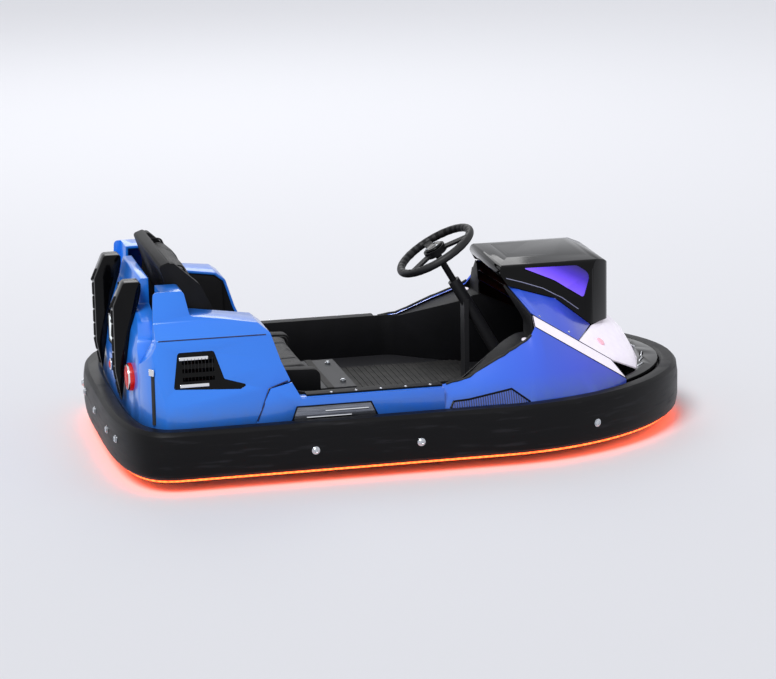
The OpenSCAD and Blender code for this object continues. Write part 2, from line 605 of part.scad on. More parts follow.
// Hood: a wide facet between the light bar and the cowl's lower edge, with a rear flange that turns inwards
hood_break = 0.5;
function share(v, a, b) = (v - a) / (b - a);
function cowl_y(x, z) = min(
    along(cowl_shoulder, cowl_flank, share(z, cowl_shoulder[1], cowl_flank[1]))[0],
    along(cowl_plan_half[0], cowl_plan_half[1], share(x, cowl_plan_half[0][0], cowl_plan_half[1][0]))[1]);
function under_cowl(x) = let (z = on_line(cowl_low, x)[1] - seam) [x, cowl_y(x, z) - 1, z - 2];
bar_seam = bar_up * (bar_w + seam);
hood_turn = 36;
hood_rear_x = cowl_low[0][0] + 4;
hood_x = [hood_rear_x, hood_rear_x + hood_turn, cowl_low[1][0] - 50, cowl_low[1][0], cowl_low[2][0] - 60, cowl_low[2][0] - 4];
hood_top = [for (x = hood_x) under_cowl(x)];
hood_low = [for (t = [0, hood_turn / 380, 0.22, 0.32, 0.42, hood_break]) bar_line(t) + bar_seam];
hood_fold = [0, -26, 4];
function folded(row, k) = [for (i = [0:len(row) - 1]) i == 0 ? row[0] + hood_fold * k : row[i]];
hood_grid = [folded(hood_top, 1), folded(hood_low, 0.6)];
module hood_panels() color(body_blue) both_sides() sheet(hood_grid, shifted(hood_grid, skin_in));

// Nose fascia: a lit, slightly bulging face between the two light bars
fascia_rows = 5;
fascia_z = ring_top + 10;
bulge = 16;
fascia_columns = [
    // top edge, bottom edge, bulge, inward step
    [bar_line(hood_break) + bar_seam + [3, 0, 0], bar_line(bar_end) + bar_seam, 0, skin_in],
    [hood_top[5] + [6, -1, -4], [nose_x - 204, 262, fascia_z], bulge * 0.6, [-4, -4, -4]],
    [[cowl_front - 44, 114, cowl_top - 230], [nose_x - 162, 132, fascia_z], bulge, [-6, -2, -4]],
    [[cowl_front - 12, 0, cowl_top - 232], [nose_x - 144, 0, fascia_z], bulge, [-7, 0, -4]]];
function mirrored(p) = [p[0], -p[1], p[2]];
fascia_full = concat(fascia_columns,
    [for (i = [2:-1:0]) let (c = fascia_columns[i]) [mirrored(c[0]), mirrored(c[1]), c[2], mirrored(c[3])]]);
function fascia_point(c, r) = along(c[0], c[1], r / (fascia_rows - 1))
    + [0.9, 0, 0.45] * c[2] * sin(180 * r / (fascia_rows - 1));
module nose_fascia() color([0.97, 0.95, 1]) sheet(
    [for (r = [0:fascia_rows - 1]) [for (c = fascia_full) fascia_point(c, r)]],
    [for (r = [0:fascia_rows - 1]) [for (c = fascia_full) fascia_point(c, r) + c[3]]]);

// Front tray: the flat black apron between the fascia and the ring, with slanted slots
tray_x = nose_x - 272;
tray_z = ring_top + 4;
slots = [[60, 20], [130, 30], [200, 40]];
module front_tray() color([0.03, 0.03, 0.04]) difference() {
    up_prism(skin_z, tray_z) intersection() {
        polygon(plan(skin));
        translate([tray_x, -half_w]) square([half_w, car_w]);
    }
    up_prism(skin_z - eps, tray_z - wall) intersection() {
        polygon(plan(skin + wall));
        translate([tray_x - eps, -half_w]) square([half_w, car_w]);
    }
    both_sides() for (s = slots)
        translate([nose_x - 104 - s[0] * 0.35, s[0], skin_z]) rotate([0, 0, 90 + s[1]])
            translate([-24, -6, 0]) cube([48, 12, 40]);
}

// Cockpit liner: a black tub wall round the seat bay and the foot well, with a shelf over each front wheel
liner_t = 5;
rim_z = sill_top + 6;
shelf_line = [[neck_x - 30, sill_top - 4], [fender_line[1][0], 266], [fender_line[2][0], fender_line[2][2] - 10],
    [fender_line[3][0] - 8, fender_line[3][2] - 16], [bar_top[0] + 1, bar_top[2] - 44]];
liner_top = concat([[rear_x + 215, block_z - 16], [rear_x + 235, block_z - 16], [rear_x + 248, shoulder_z + 18],
    [pod_front - 98, shoulder_z - 12], [pod_front - 70, shoulder_z - 34], [pod_front - 66, pod_nose_z + 61],
    [pod_front - 65, pod_nose_z - 19], [pod_front + 2, pod_nose_z - 19], [bay_x - 10, rim_z], [neck_x - 30, rim_z],
    [fender_line[1][0], 272]], [for (i = [2:4]) shelf_line[i]], [[foot_x, pan_z + 125]]);
liner_low = pan_z + pan_t + seat_gap;
axle_notch = axle_tube_r + 4;
liner_side = concat([[foot_x, liner_low], [bay_x, liner_low], [bay_x - 10, frame_top + seat_gap],
    [-rear_axle_x + axle_notch, frame_top + seat_gap], [-rear_axle_x + axle_notch, tyre_r + axle_notch],
    [-rear_axle_x - axle_notch, tyre_r + axle_notch], [-rear_axle_x - axle_notch, frame_top + seat_gap],
    [rear_x + 215, frame_top + seat_gap]], liner_top);
shelf_edge = [[neck_x - 30, cockpit_y + 4], [fender_line[1][0], cockpit_y - 2], [fender_line[2][0], cockpit_y - 30],
    [fender_line[3][0] - 8, cockpit_y - 62], [bar_top[0] + 1, cockpit_y - 78]];
// Bulkheads beside the foot well, behind the hoods' rear edges
bulkhead_x = bar_top[0] - 2;
bulkhead = [
    [[bulkhead_x, 415, 364], [bulkhead_x, 393, 398], [bulkhead_x, 386, 414],
        bar_top + bar_up * bar_w + [-2, -3, -3], hood_grid[1][0] + [-2, -2, -2], hood_grid[0][0] + [-2, -2, -2]],
    [[bulkhead_x, foot_y + 3, 364], [bulkhead_x, foot_y + 3, 398], [bulkhead_x, foot_y - 2, 406],
        [bulkhead_x - 2, foot_y - 18, 414], [bulkhead_x - 6, 270, 424], hood_grid[0][0] + [-2, -22, -12]]];
module cockpit_liner() color([0.05, 0.05, 0.06]) {
    intersection() {
        up_prism(frame_top, block_z) difference() {
            polygon(cockpit_plan);
            offset(delta = -liner_t) polygon(cockpit_plan);
            translate([rear_x, -seat_bay_y + liner_t]) square([300, 2 * (seat_bay_y - liner_t)]);
        }
        side_prism(-half_w, half_w) polygon(liner_side);
    }
    both_sides() {
        slab(bay_x + 20, neck_x - 52, cockpit_y - 2, skin_y - 22, sill_top + seat_gap, rim_z);
        intersection() {
            side_prism(foot_y - 2, cockpit_y + 2) polygon(concat(shelf_line,
                [for (i = [len(shelf_line) - 1:-1:0]) shelf_line[i] - [0, liner_t]]));
            up_prism(skin_z, 2 * sill_top) difference() {
                polygon(concat(shelf_edge, [[bar_top[0] + 1, 0], [neck_x - 30, 0]]));
                offset(delta = -liner_t) polygon(cockpit_plan);
            }
        }
        sheet(shifted(bulkhead, [-liner_t, 0, 0]), bulkhead);
    }
}

// Rear cover: a shell across the tail with holes for the lamps and the controls
cover_side = rounded([[rear_x + 50, skin_z, 0], [rear_x + 72, 330, 60], [rear_x + 90, 450, 60], [rear_x + 120, 540, 30],
    [rear_x + 134, cover_top, 10], [cover_front, cover_top, 0], [cover_front, skin_z, 0]]);
cover_end_half = [[cover_half, skin_z - 60, 0], [cover_half, 405, 40], [378, 458, 40], [300, 492, 30],
    [178, 520, 6], [172, cover_top + 20, 0]];
cover_end = rounded(concat(cover_end_half, flip_across(cover_end_half)));
module cover_block(off) intersection() {
    side_prism(-half_w, half_w) offset(delta = -off) polygon(cover_side);
    end_prism(rear_x, 0) offset(delta = -off) polygon(cover_end);
    up_prism(skin_z, cover_top + 20) polygon(plan(skin + off));
}
lamp_y = 315;
lamp_z = 320;
lamp_r = 44;
screen = [-65, 65, 345, 453];
button_z = 285;
button_r = 20;
slot_cup = [-72, 72, 492, 540];
module rear_cover() color(body_blue) difference() {
    cover_block(0);
    cover_block(wall);
    translate([0, 0, -2 * wall]) cover_block(wall);
    both_sides() translate([rear_x, lamp_y, lamp_z]) rotate([0, 90, 0]) cylinder(r = lamp_r + seam, h = 140);
    translate([rear_x, 0, button_z]) rotate([0, 90, 0]) cylinder(r = button_r + seam, h = 140);
    slab(rear_x, cover_front - 20, screen[0] - seam, screen[1] + seam, screen[2] - seam, screen[3] + seam);
    slab(rear_x, cover_front - 20, slot_cup[0] - seam, slot_cup[1] + seam, slot_cup[2] - seam, slot_cup[3] + seam);
}
module tail_lamps() color([0.9, 0.05, 0.05]) both_sides()
    translate([rear_x + 66, lamp_y, lamp_z]) rotate([0, 90, 0]) cylinder(r = lamp_r, h = 26);
module rear_controls() color([0.03, 0.03, 0.04]) {
    slab(rear_x + 66, rear_x + 110, screen[0], screen[1], screen[2], screen[3]);
    translate([rear_x + 58, 0, button_z]) rotate([0, 90, 0]) cylinder(r = button_r, h = 24);
    difference() {
        slab(rear_x + 98, rear_x + 140, slot_cup[0], slot_cup[1], slot_cup[2], slot_cup[3]);
        slab(rear_x + 90, rear_x + 132, slot_cup[0] + 6, slot_cup[1] - 6, slot_cup[2] + 6, slot_cup[3] - 6);
    }
}

// Rear ribs: two upright black bands that stand proud of the cover
rib_y = [178, 240];
module rear_ribs() color([0.03, 0.03, 0.04]) both_sides() side_prism(rib_y[0], rib_y[1]) difference() {
    polygon(rounded([[rear_x + 58, ring_top + 4, 0], [rear_x + 38, 320, 40], [rear_x + 38, 530, 30],
        [rear_x + 72, 606, 16], [rear_x + 128, 606, 10], [rear_x + 128, 500, 0], [rear_x + 90, ring_top + 4, 0]]));
    offset(delta = seat_gap) polygon(cover_side);
}

// Seat: a moulded bucket with bolsters, and two cushions
seat_z = battery_top + seat_gap;
seat_front = rear_x + 695;
hinge_x = rear_x + 380;
hinge_z = seat_z + 28;
shell_t = 24;
back_dir = [-sin(back_lean), cos(back_lean)];
back_out = [-cos(back_lean), -sin(back_lean)];
back_foot = [hinge_x, hinge_z];
back_head = back_foot + back_dir * back_l;
function on_back(s, n) = back_foot + back_dir * s - back_out * n;
heel_x = hinge_x - 2 * shell_t;
function with_r(p, r) = [p[0], p[1], r];
seat_l = [[seat_front, seat_z, 10], [seat_front, seat_z + 40, 12], with_r(back_foot, 30), with_r(back_head, 10),
    with_r(back_head + back_out * shell_t * 1.6, 10), [heel_x, seat_z, 20]];
bolster = [[seat_front, seat_z, 10], [seat_front, seat_z + 86, 26],
    with_r([hinge_x + 65, seat_z + 96], 60), with_r(on_back(190, 78), 80), with_r(on_back(360, 62), 60),
    with_r(on_back(back_l - 8, 8), 14), with_r(back_head + back_out * shell_t * 1.6, 10),
    [heel_x, seat_z, 20]];
bolster_t = 44;
module seat_shell() color([0.05, 0.05, 0.06]) {
    side_prism(-seat_w / 2 + 1, seat_w / 2 - 1) polygon(rounded(seat_l));
    both_sides() side_prism(seat_w / 2 - bolster_t, seat_w / 2) polygon(rounded(bolster));
}
pad_half = seat_w / 2 - bolster_t - 2;
function pan_at(x) = seat_z + 40 + (hinge_z - seat_z - 40) * (seat_front - x) / (seat_front - hinge_x)
    + seat_gap;
module seat_cushion() color([0.08, 0.08, 0.09]) side_prism(-pad_half, pad_half) polygon(rounded([
    [seat_front - 14, pan_at(seat_front - 14), 6], [seat_front - 12, seat_z + 40 + pad_t, 18],
    [hinge_x + 60, seat_z + 32 + pad_t, 12], [hinge_x + 34, pan_at(hinge_x + 34), 4]]));
module seat_back_pad() color([0.08, 0.08, 0.09]) side_prism(-pad_half, pad_half) polygon(rounded([
    with_r(on_back(72, seat_gap), 6), with_r(on_back(86, pad_t), 16), with_r(on_back(back_l - 40, pad_t - 6), 18),
    with_r(on_back(back_l - 26, seat_gap), 6)]));

// Pedals: two plates on arms from the foot well's floor
module pedals() color([0.5, 0.5, 0.52]) for (y = [-120, 120]) {
    slab(foot_x - 78, foot_x - 30, y - 20, y + 20, pan_z + pan_t, pan_z + pan_t + 8);
    translate([foot_x - 60, y, pan_z + pan_t + 4]) rotate([0, 20, 0]) {
        translate([-6, -8, 0]) cube([12, 16, 130]);
        translate([-12, -32, 70]) cube([6.5, 64, 76]);
    }
}

bumper();
underglow_strip();
frame_hoop();
chassis_frame();
floor_pan();
battery();
transaxle();
front_axle();
knuckle_left();
knuckle_right();
tie_rod_left();
tie_rod_right();
tyre_front_left();
tyre_front_right();
tyre_rear_left();
tyre_rear_right();
rim_front_left();
rim_front_right();
rim_rear_left();
rim_rear_right();
rear_pod_left();
rear_pod_right();
side_vents();
side_panels();
kick_plates();
front_fender_left();
front_fender_right();
side_markers();
light_bars();
hood_panels();
nose_fascia();
front_tray();
cowl();
cowl_windows();
cockpit_liner();
rear_cover();
rear_ribs();
tail_lamps();
rear_controls();
seat_shell();
seat_cushion();
seat_back_pad();
steering_wheel();
steering_column();
pedals();
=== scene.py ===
# %% [markdown]
# A bumper kart is a small electric car inside a thick rubber ring. Its parts come from CAD, and this
# lesson dresses them: every finish, bolt, lens, cushion and trim that the eye expects is added here,
# on top of a frame whose sizes never change.

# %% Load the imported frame
import bpy, math
from mathutils import Matrix, Vector


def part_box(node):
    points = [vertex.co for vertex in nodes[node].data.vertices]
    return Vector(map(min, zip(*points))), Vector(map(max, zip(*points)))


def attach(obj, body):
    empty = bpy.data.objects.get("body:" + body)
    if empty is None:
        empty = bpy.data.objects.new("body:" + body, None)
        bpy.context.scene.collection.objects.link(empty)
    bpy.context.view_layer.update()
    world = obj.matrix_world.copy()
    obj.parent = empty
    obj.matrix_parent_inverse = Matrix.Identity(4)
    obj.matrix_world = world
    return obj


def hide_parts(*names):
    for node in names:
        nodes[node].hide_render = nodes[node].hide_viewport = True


MM = 0.001
SIDES = (-1, 1)
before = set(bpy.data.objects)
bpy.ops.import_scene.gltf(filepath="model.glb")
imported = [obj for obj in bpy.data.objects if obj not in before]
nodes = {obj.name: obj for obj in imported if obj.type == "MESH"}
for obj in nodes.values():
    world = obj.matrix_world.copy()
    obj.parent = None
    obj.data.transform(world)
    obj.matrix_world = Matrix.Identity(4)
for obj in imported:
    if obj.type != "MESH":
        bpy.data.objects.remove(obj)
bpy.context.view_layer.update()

# %% [markdown]
# The photograph looks at the kart's right side from a little behind and above, through a long lens.
# The camera keeps that direction and that distance, and only the lens is longer, so the kart fills
# the picture without a change of perspective.

# %% Camera
CAMERA_DISTANCE = 10.82
CAMERA_AZIMUTH = math.radians(-12.9)
CAMERA_ELEVATION = math.radians(13.9)
CAMERA_ROLL = math.radians(-1.0)
CAMERA_LENS = 152
LOOK_AT = Vector((0.0, 0.0, 0.30))

bpy.ops.object.camera_add()
camera = bpy.context.object
camera.name = "studio_camera"
direction = Vector((math.sin(CAMERA_AZIMUTH) * math.cos(CAMERA_ELEVATION),
                    -math.cos(CAMERA_AZIMUTH) * math.cos(CAMERA_ELEVATION),
                    math.sin(CAMERA_ELEVATION)))
camera.location = LOOK_AT + direction * CAMERA_DISTANCE
aim = (-direction).to_track_quat("-Z", "Y").to_matrix().to_4x4()
camera.rotation_euler = (aim @ Matrix.Rotation(CAMERA_ROLL, 4, "Z")).to_euler()
camera.data.sensor_width = 36
camera.data.lens = CAMERA_LENS
bpy.context.scene.camera = camera
print("camera at", [round(v, 3) for v in camera.location])

# %% [markdown]
# Every colour is written as the sRGB value that a paint chart or a picture gives. Blender works in
# linear light, so one function turns the hex value into it. Others add a shader node with its links,
# start a material with its constants on the shader, and lay a fine bump or soft clouds over it. All
# patterns are sized in real millimetres.

# %% Colour and node helpers
def linear(hex_value):
    channels = [int(hex_value[i:i + 2], 16) / 255 for i in (0, 2, 4)]
    return tuple(c / 12.92 if c <= 0.04045 else ((c + 0.055) / 1.055) ** 2.4 for c in channels) + (1.0,)


def add(material, kind, inputs=None, **settings):
    node = material.node_tree.nodes.new("ShaderNode" + kind)
    for key, value in settings.items():
        setattr(node, key, value)
    for key, value in (inputs or {}).items():
        if isinstance(value, bpy.types.NodeSocket):
            material.node_tree.links.new(value, node.inputs[key])
        else:
            node.inputs[key].default_value = value
    return node


def finish(name, colour, roughness, **constants):
    material = bpy.data.materials.new(name)
    material.use_nodes = True
    inputs = material.node_tree.nodes["Principled BSDF"].inputs
    inputs["Base Color"].default_value = linear(colour)
    inputs["Roughness"].default_value = roughness
    for key, value in constants.items():
        inputs[key.replace("_", " ")].default_value = value
    return material


def join(material, socket, output):
    material.node_tree.links.new(output, material.node_tree.nodes["Principled BSDF"].inputs[socket])


def ramp(material, factor, stops):
    node = add(material, "ValToRGB", {"Fac": factor})
    elements = node.color_ramp.elements
    while len(elements) < len(stops):
        elements.new(0.5)
    for element, (position, colour) in zip(elements, stops):
        element.position = position
        element.color = linear(colour)
    return node.outputs["Color"]


def place_of(material):
    return add(material, "TexCoord").outputs["Object"]


def noise_scale(size):
    """The scale of a texture whose features measure size millimetres."""
    return 1000.0 / size


def cloudy(material, size, stretch=(1, 1, 1), detail=4.0):
    place = add(material, "Mapping", {"Vector": place_of(material), "Scale": stretch}).outputs["Vector"]
    return add(material, "TexNoise", {"Vector": place, "Scale": noise_scale(size), "Detail": detail}).outputs["Fac"]


def bump(material, height, depth):
    """Raise the surface by a pattern that stands depth millimetres."""
    node = add(material, "Bump", {"Height": height, "Distance": depth * MM, "Strength": 1.0})
    join(material, "Normal", node.outputs["Normal"])


def grain(material, size, depth, detail=2.0, stretch=(1, 1, 1)):
    bump(material, cloudy(material, size, stretch, detail), depth)


def mottle(material, socket, size, stops, **pattern):
    """Vary one input of the shader in soft clouds between the stops' colours or grey levels."""
    join(material, socket, ramp(material, cloudy(material, size, **pattern), stops))


print("helpers ready")

# %% [markdown]
# The ring is moulded EPDM rubber: satin, almost black, with a fine mould grain and grey scuffs where
# other karts have rubbed it. The scuffs are long along the side, because the karts slide past.

# %% Rubber of the ring
rubber_epdm = finish("rubber_epdm_moulded", "0c0c0e", 0.45, Specular_IOR_Level=0.14)
grain(rubber_epdm, 2.2, 0.12)
scuff = cloudy(rubber_epdm, 34, stretch=(0.25, 0.25, 2.4), detail=7)
join(rubber_epdm, "Base Color", ramp(rubber_epdm, scuff, [(0.0, "08080a"), (0.56, "0d0d0f"), (0.78, "27272b")]))
join(rubber_epdm, "Roughness", ramp(rubber_epdm, scuff, [(0.0, "9a9a9a"), (0.6, "b0b0b0"), (0.8, "d8d8d8")]))
print("rubber of the ring ready")

# %% [markdown]
# The body panels are gloss ABS, vacuum formed and lacquered. The eye reads that as a clear blue with
# a sharp reflection over a very slight orange peel, and a little dust low down where the tyres throw
# it. Towards the nose the blue is painted deeper and more violet: painted violet light and shade. The
# navy is the dark line of a panel joint, and a line of painted shade under the pods' shoulder crease.

# %% Gloss blue of the body
abs_gloss_blue = finish("abs_gloss_blue_lacquered", "2a7be8", 0.28, IOR=1.5, Coat_Weight=0.6, Coat_Roughness=0.08)
grain(abs_gloss_blue, 9, 0.05)
axes = add(abs_gloss_blue, "SeparateXYZ", {"Vector": place_of(abs_gloss_blue)})
# Painted light: along the kart the blue is painted deeper and more violet towards the nose, a painted violet light
# and shade.
along_car = add(abs_gloss_blue, "MapRange", {"Value": axes.outputs["X"], "From Min": -0.9, "From Max": 0.75})
blue = ramp(abs_gloss_blue, along_car.outputs["Result"],
            [(0.0, "2280f0"), (0.5, "2276ee"), (0.72, "2f66e8"), (0.86, "3a56e0"), (1.0, "3c3cc4")])
dust_height = add(abs_gloss_blue, "MapRange", {"Value": axes.outputs["Z"], "From Min": 0.27, "From Max": 0.17})
dust = add(abs_gloss_blue, "Math", {0: cloudy(abs_gloss_blue, 28, detail=6), 1: dust_height.outputs["Result"]},
           operation="MULTIPLY")
dusty = add(abs_gloss_blue, "Mix", {"Factor": dust.outputs["Value"], "A": blue, "B": linear("4f74b4")},
            data_type="RGBA")
join(abs_gloss_blue, "Base Color", dusty.outputs["Result"])

# Navy for the dark joint lines of the pods, and for a painted shade line under their shoulder crease.
navy_joint_and_painted_shade = finish("abs_gloss_navy_joint_and_painted_shade", "0a1a52", 0.35, Coat_Weight=0.2)
grain(navy_joint_and_painted_shade, 6, 0.04)
print("gloss blue and navy ready")

# %% [markdown]
# Cowl, vents, ribs and tray are gloss black ABS. Black shows every hair scratch, so its roughness
# wanders a little. The tub, the seat's shell and the control housings are the same plastic with a
# spark-eroded mould grain of about a millimetre, which scatters the light to a soft grey.

# %% Black plastics
abs_gloss_black = finish("abs_gloss_black_moulded", "040405", 0.2, Specular_IOR_Level=0.13, Coat_Weight=0.07,
                         Coat_Roughness=0.05)
mottle(abs_gloss_black, "Roughness", 60, [(0.35, "3a3a3a"), (0.7, "6e6e6e")], detail=8)
grain(abs_gloss_black, 14, 0.04)

abs_grained_black = finish("abs_grained_black_moulded", "0b0b0d", 0.55, Specular_IOR_Level=0.18)
grain(abs_grained_black, 1.6, 0.16, detail=1)
mottle(abs_grained_black, "Base Color", 90, [(0.3, "08080a"), (0.7, "0f0f12")])
print("black plastics ready")

# %% [markdown]
# The frame is welded steel tube under black powder coat, which has a fine orange peel. Shafts and
# rods are turned steel, the gear case is sand-cast aluminium, and the wheels are die-cast aluminium.
# The trims are chrome-plated plastic, the kick plates brushed aluminium with scratches lengthwise,
# and the screws zinc-plated. A metal keeps its default IOR, and its colour is its reflection.

# %% Metals
steel_powder_coat = finish("steel_black_powder_coated", "1d1d20", 0.5)
grain(steel_powder_coat, 3, 0.1)

steel_turned = finish("steel_turned", "b9bcc2", 0.3, Metallic=1.0)
grain(steel_turned, 1.2, 0.03, stretch=(1, 0.06, 1))

steel_zinc = finish("steel_zinc_plated", "c9cdd2", 0.34, Metallic=1.0)
mottle(steel_zinc, "Roughness", 6, [(0.3, "484848"), (0.75, "787878")])

aluminium_cast = finish("aluminium_sand_cast", "74777c", 0.55, Metallic=1.0)
grain(aluminium_cast, 2.5, 0.3, detail=3)

aluminium_wheel = finish("aluminium_die_cast_satin", "c2c4c8", 0.38, Metallic=1.0)
grain(aluminium_wheel, 2, 0.05)

chrome_plate = finish("abs_chrome_plated", "e8eaee", 0.08, Metallic=1.0)
mottle(chrome_plate, "Roughness", 12, [(0.3, "202020"), (0.8, "404040")])

aluminium_brushed = finish("aluminium_brushed_worn", "7c7f88", 0.36, Metallic=0.8)
mottle(aluminium_brushed, "Base Color", 3, [(0.3, "565963"), (0.7, "90949e")], stretch=(0.03, 1, 1))
mottle(aluminium_brushed, "Roughness", 40, [(0.3, "505050"), (0.75, "8a8a8a")])
grain(aluminium_brushed, 1.5, 0.06, stretch=(0.04, 1, 1))
print("metals ready")

# %% [markdown]
# Tyre rubber is matt and dusty. The battery case is grained polypropylene. The wheel's grip is dull
# polyurethane foam with a skin, and the kart's vinyl has an embossed leather grain with cells of about
# two millimetres, drawn at three so that it shows. Its seams are sewn with grey polyester thread.

# %% Tyre, battery case, foam and vinyl
rubber_tyre = finish("rubber_tyre_moulded", "161616", 0.75)
grain(rubber_tyre, 3, 0.25)
mottle(rubber_tyre, "Base Color", 40, [(0.3, "121212"), (0.75, "2b2a29")])

battery_case = finish("polypropylene_grained", "26272b", 0.6)
grain(battery_case, 2, 0.2)

polyurethane_foam = finish("polyurethane_integral_foam", "101012", 0.5, Specular_IOR_Level=0.4)
grain(polyurethane_foam, 1.4, 0.1)

vinyl_black = finish("vinyl_black_embossed", "101012", 0.48, Specular_IOR_Level=0.25, Sheen_Weight=0.04)
cells = add(vinyl_black, "TexVoronoi", {"Vector": place_of(vinyl_black), "Scale": noise_scale(3.0)},
            feature="DISTANCE_TO_EDGE")
pebble = add(vinyl_black, "MapRange", {"Value": cells.outputs["Distance"], "From Max": 0.12})
bump(vinyl_black, pebble.outputs["Result"], 0.3)
mottle(vinyl_black, "Base Color", 70, [(0.3, "0b0b0d"), (0.7, "131316")])

thread_grey = finish("polyester_thread_grey", "7d8088", 0.7, Sheen_Weight=0.3)
grain(thread_grey, 0.8, 0.1)
print("tyre, battery, foam and vinyl ready")

# %% [markdown]
# The lamps are opal acrylic in front of diodes. Opal plastic spreads the light, so the face glows
# evenly with only a faint lighter spot over each diode. The strength stays low, so that the colour
# is still seen and the face doesn't clip to flat white.

# %% Lit plastics
def lit(name, colour, glow, strength, spot, deep):
    material = finish(name, colour, 0.2, Emission_Strength=strength)
    dots = add(material, "TexVoronoi",
               {"Vector": place_of(material), "Scale": noise_scale(spot), "Randomness": 0.15})
    join(material, "Emission Color", ramp(material, dots.outputs["Distance"], [(0.1, glow), (0.9, deep)]))
    return material


acrylic_opal_lit = lit("acrylic_opal_lit", "ece6f4", "fff8ff", 0.3, 34, "f0e4fa")
acrylic_glow_strip = lit("acrylic_red_orange_lit", "ff3a12", "ff6a2a", 5.0, 18, "ff2a08")
acrylic_red_lamp = lit("acrylic_red_lamp", "a80a10", "ff2418", 0.35, 9, "5a0206")
acrylic_display = lit("acrylic_display_lit", "e8f2f6", "ffffff", 0.6, 6, "dff0f6")
acrylic_pink_lamp = lit("acrylic_pink_lamp", "eeb4c6", "ffd0dc", 0.3, 10, "f09ab4")
print("lit plastics ready")

# %% [markdown]
# The cowl's side windows are violet polycarbonate, with painted light: they glow a little, are painted
# bright along their lower edge as a painted highlight, and fade to navy at the top and front as
# painted shade. The side markers are dark blue lenses with
# upright prisms moulded in the back, which show as fine stripes. The pinstripe is grey lacquer.

# %% Tinted lenses and pinstripe
WINDOW_ACROSS = (0.471, 0.0, 0.882)  # points from the window's lower edge to its upper one
polycarbonate_violet = finish("polycarbonate_violet_tinted", "4a22c8", 0.12, IOR=1.58, Specular_IOR_Level=0.3,
                              Coat_Weight=0.3, Coat_Roughness=0.04, Emission_Strength=0.3)
# Painted light: the windows glow, are painted bright along their lower edge, and fade to navy higher up as painted
# shade.
from_edge = add(polycarbonate_violet, "VectorMath", {0: place_of(polycarbonate_violet), 1: WINDOW_ACROSS},
                operation="DOT_PRODUCT")
depth = add(polycarbonate_violet, "MapRange",
            {"Value": from_edge.outputs["Value"], "From Min": 0.678, "From Max": 0.772})
violet_tint_and_painted_light = ramp(polycarbonate_violet, depth.outputs["Result"],
            [(0.0, "8460ff"), (0.3, "6c46f4"), (0.62, "3c20b0"), (1.0, "150c48")])
join(polycarbonate_violet, "Base Color", violet_tint_and_painted_light)
join(polycarbonate_violet, "Emission Color", violet_tint_and_painted_light)

polycarbonate_marker = finish("polycarbonate_blue_prismatic", "1c3f9c", 0.15, IOR=1.58, Coat_Weight=0.6,
                              Coat_Roughness=0.05)
prisms = add(polycarbonate_marker, "TexWave",
             {"Vector": place_of(polycarbonate_marker), "Scale": 40.0, "Distortion": 0.0}, bands_direction="X")
join(polycarbonate_marker, "Base Color",
     ramp(polycarbonate_marker, prisms.outputs["Fac"], [(0.2, "0c1c58"), (0.8, "2a58c0")]))
bump(polycarbonate_marker, prisms.outputs["Fac"], 0.6)

paint_grey = finish("pinstripe_grey_lacquer", "8d8fa8", 0.35, Coat_Weight=0.3)
grain(paint_grey, 4, 0.03)
print("lenses and pinstripe ready")

# %% [markdown]
# Each CAD panel is a mesh of loose triangles with knife-sharp edges. A real moulding has a radius of
# a millimetre or two there, and that thin line of light is what makes it look solid. So each shown
# panel is copied, its doubles are merged, its flat faces are joined, and its sharp edges are
# bevelled. The copy then stands for its CAD node, which is hidden. The cowl's rolled lip is made of
# small steps that need no bevel, so there only its real corners get one.

# %% Panel copies with soft edges
BEVEL_FROM, BEVEL_FROM_ON_COWL, SHARP_FROM = 32, 50, 30  # degrees between two faces


def deselect():
    if bpy.context.object and bpy.context.object.mode != "OBJECT":
        bpy.ops.object.mode_set(mode="OBJECT")
    bpy.ops.object.select_all(action="DESELECT")


def activate(piece):
    deselect()
    piece.select_set(True)
    bpy.context.view_layer.objects.active = piece


def mode(name, piece=None):
    if piece:
        activate(piece)
    bpy.ops.object.mode_set(mode=name)


def apply_modifier(piece, kind, **settings):
    activate(piece)
    modifier = piece.modifiers.new(kind.title(), kind)
    for key, value in settings.items():
        setattr(modifier, key, value)
    bpy.ops.object.modifier_apply(modifier=modifier.name)


def smooth(piece, degrees):
    activate(piece)
    bpy.ops.object.shade_smooth_by_angle(angle=math.radians(degrees))


def rounded_edges(piece, radius, segments=2, limit=30, shading=40):
    apply_modifier(piece, "BEVEL", width=radius * MM, segments=segments, limit_method="ANGLE",
                   angle_limit=math.radians(limit))
    smooth(piece, shading)


def wear(piece, material, slot, body="chassis"):
    piece.data.materials.clear()
    piece.data.materials.append(material)
    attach(piece, body)


def linked(name, mesh):
    piece = bpy.data.objects.new(name, mesh)
    bpy.context.scene.collection.objects.link(piece)
    return piece


def merged_copy(node_name, new_name):
    piece = linked(new_name, nodes[node_name].data.copy())
    mode("EDIT", piece)
    bpy.ops.mesh.select_all(action="SELECT")
    bpy.ops.mesh.remove_doubles(threshold=0.05 * MM)
    bpy.ops.mesh.dissolve_limited(angle_limit=math.radians(0.6))
    mode("OBJECT")
    return piece


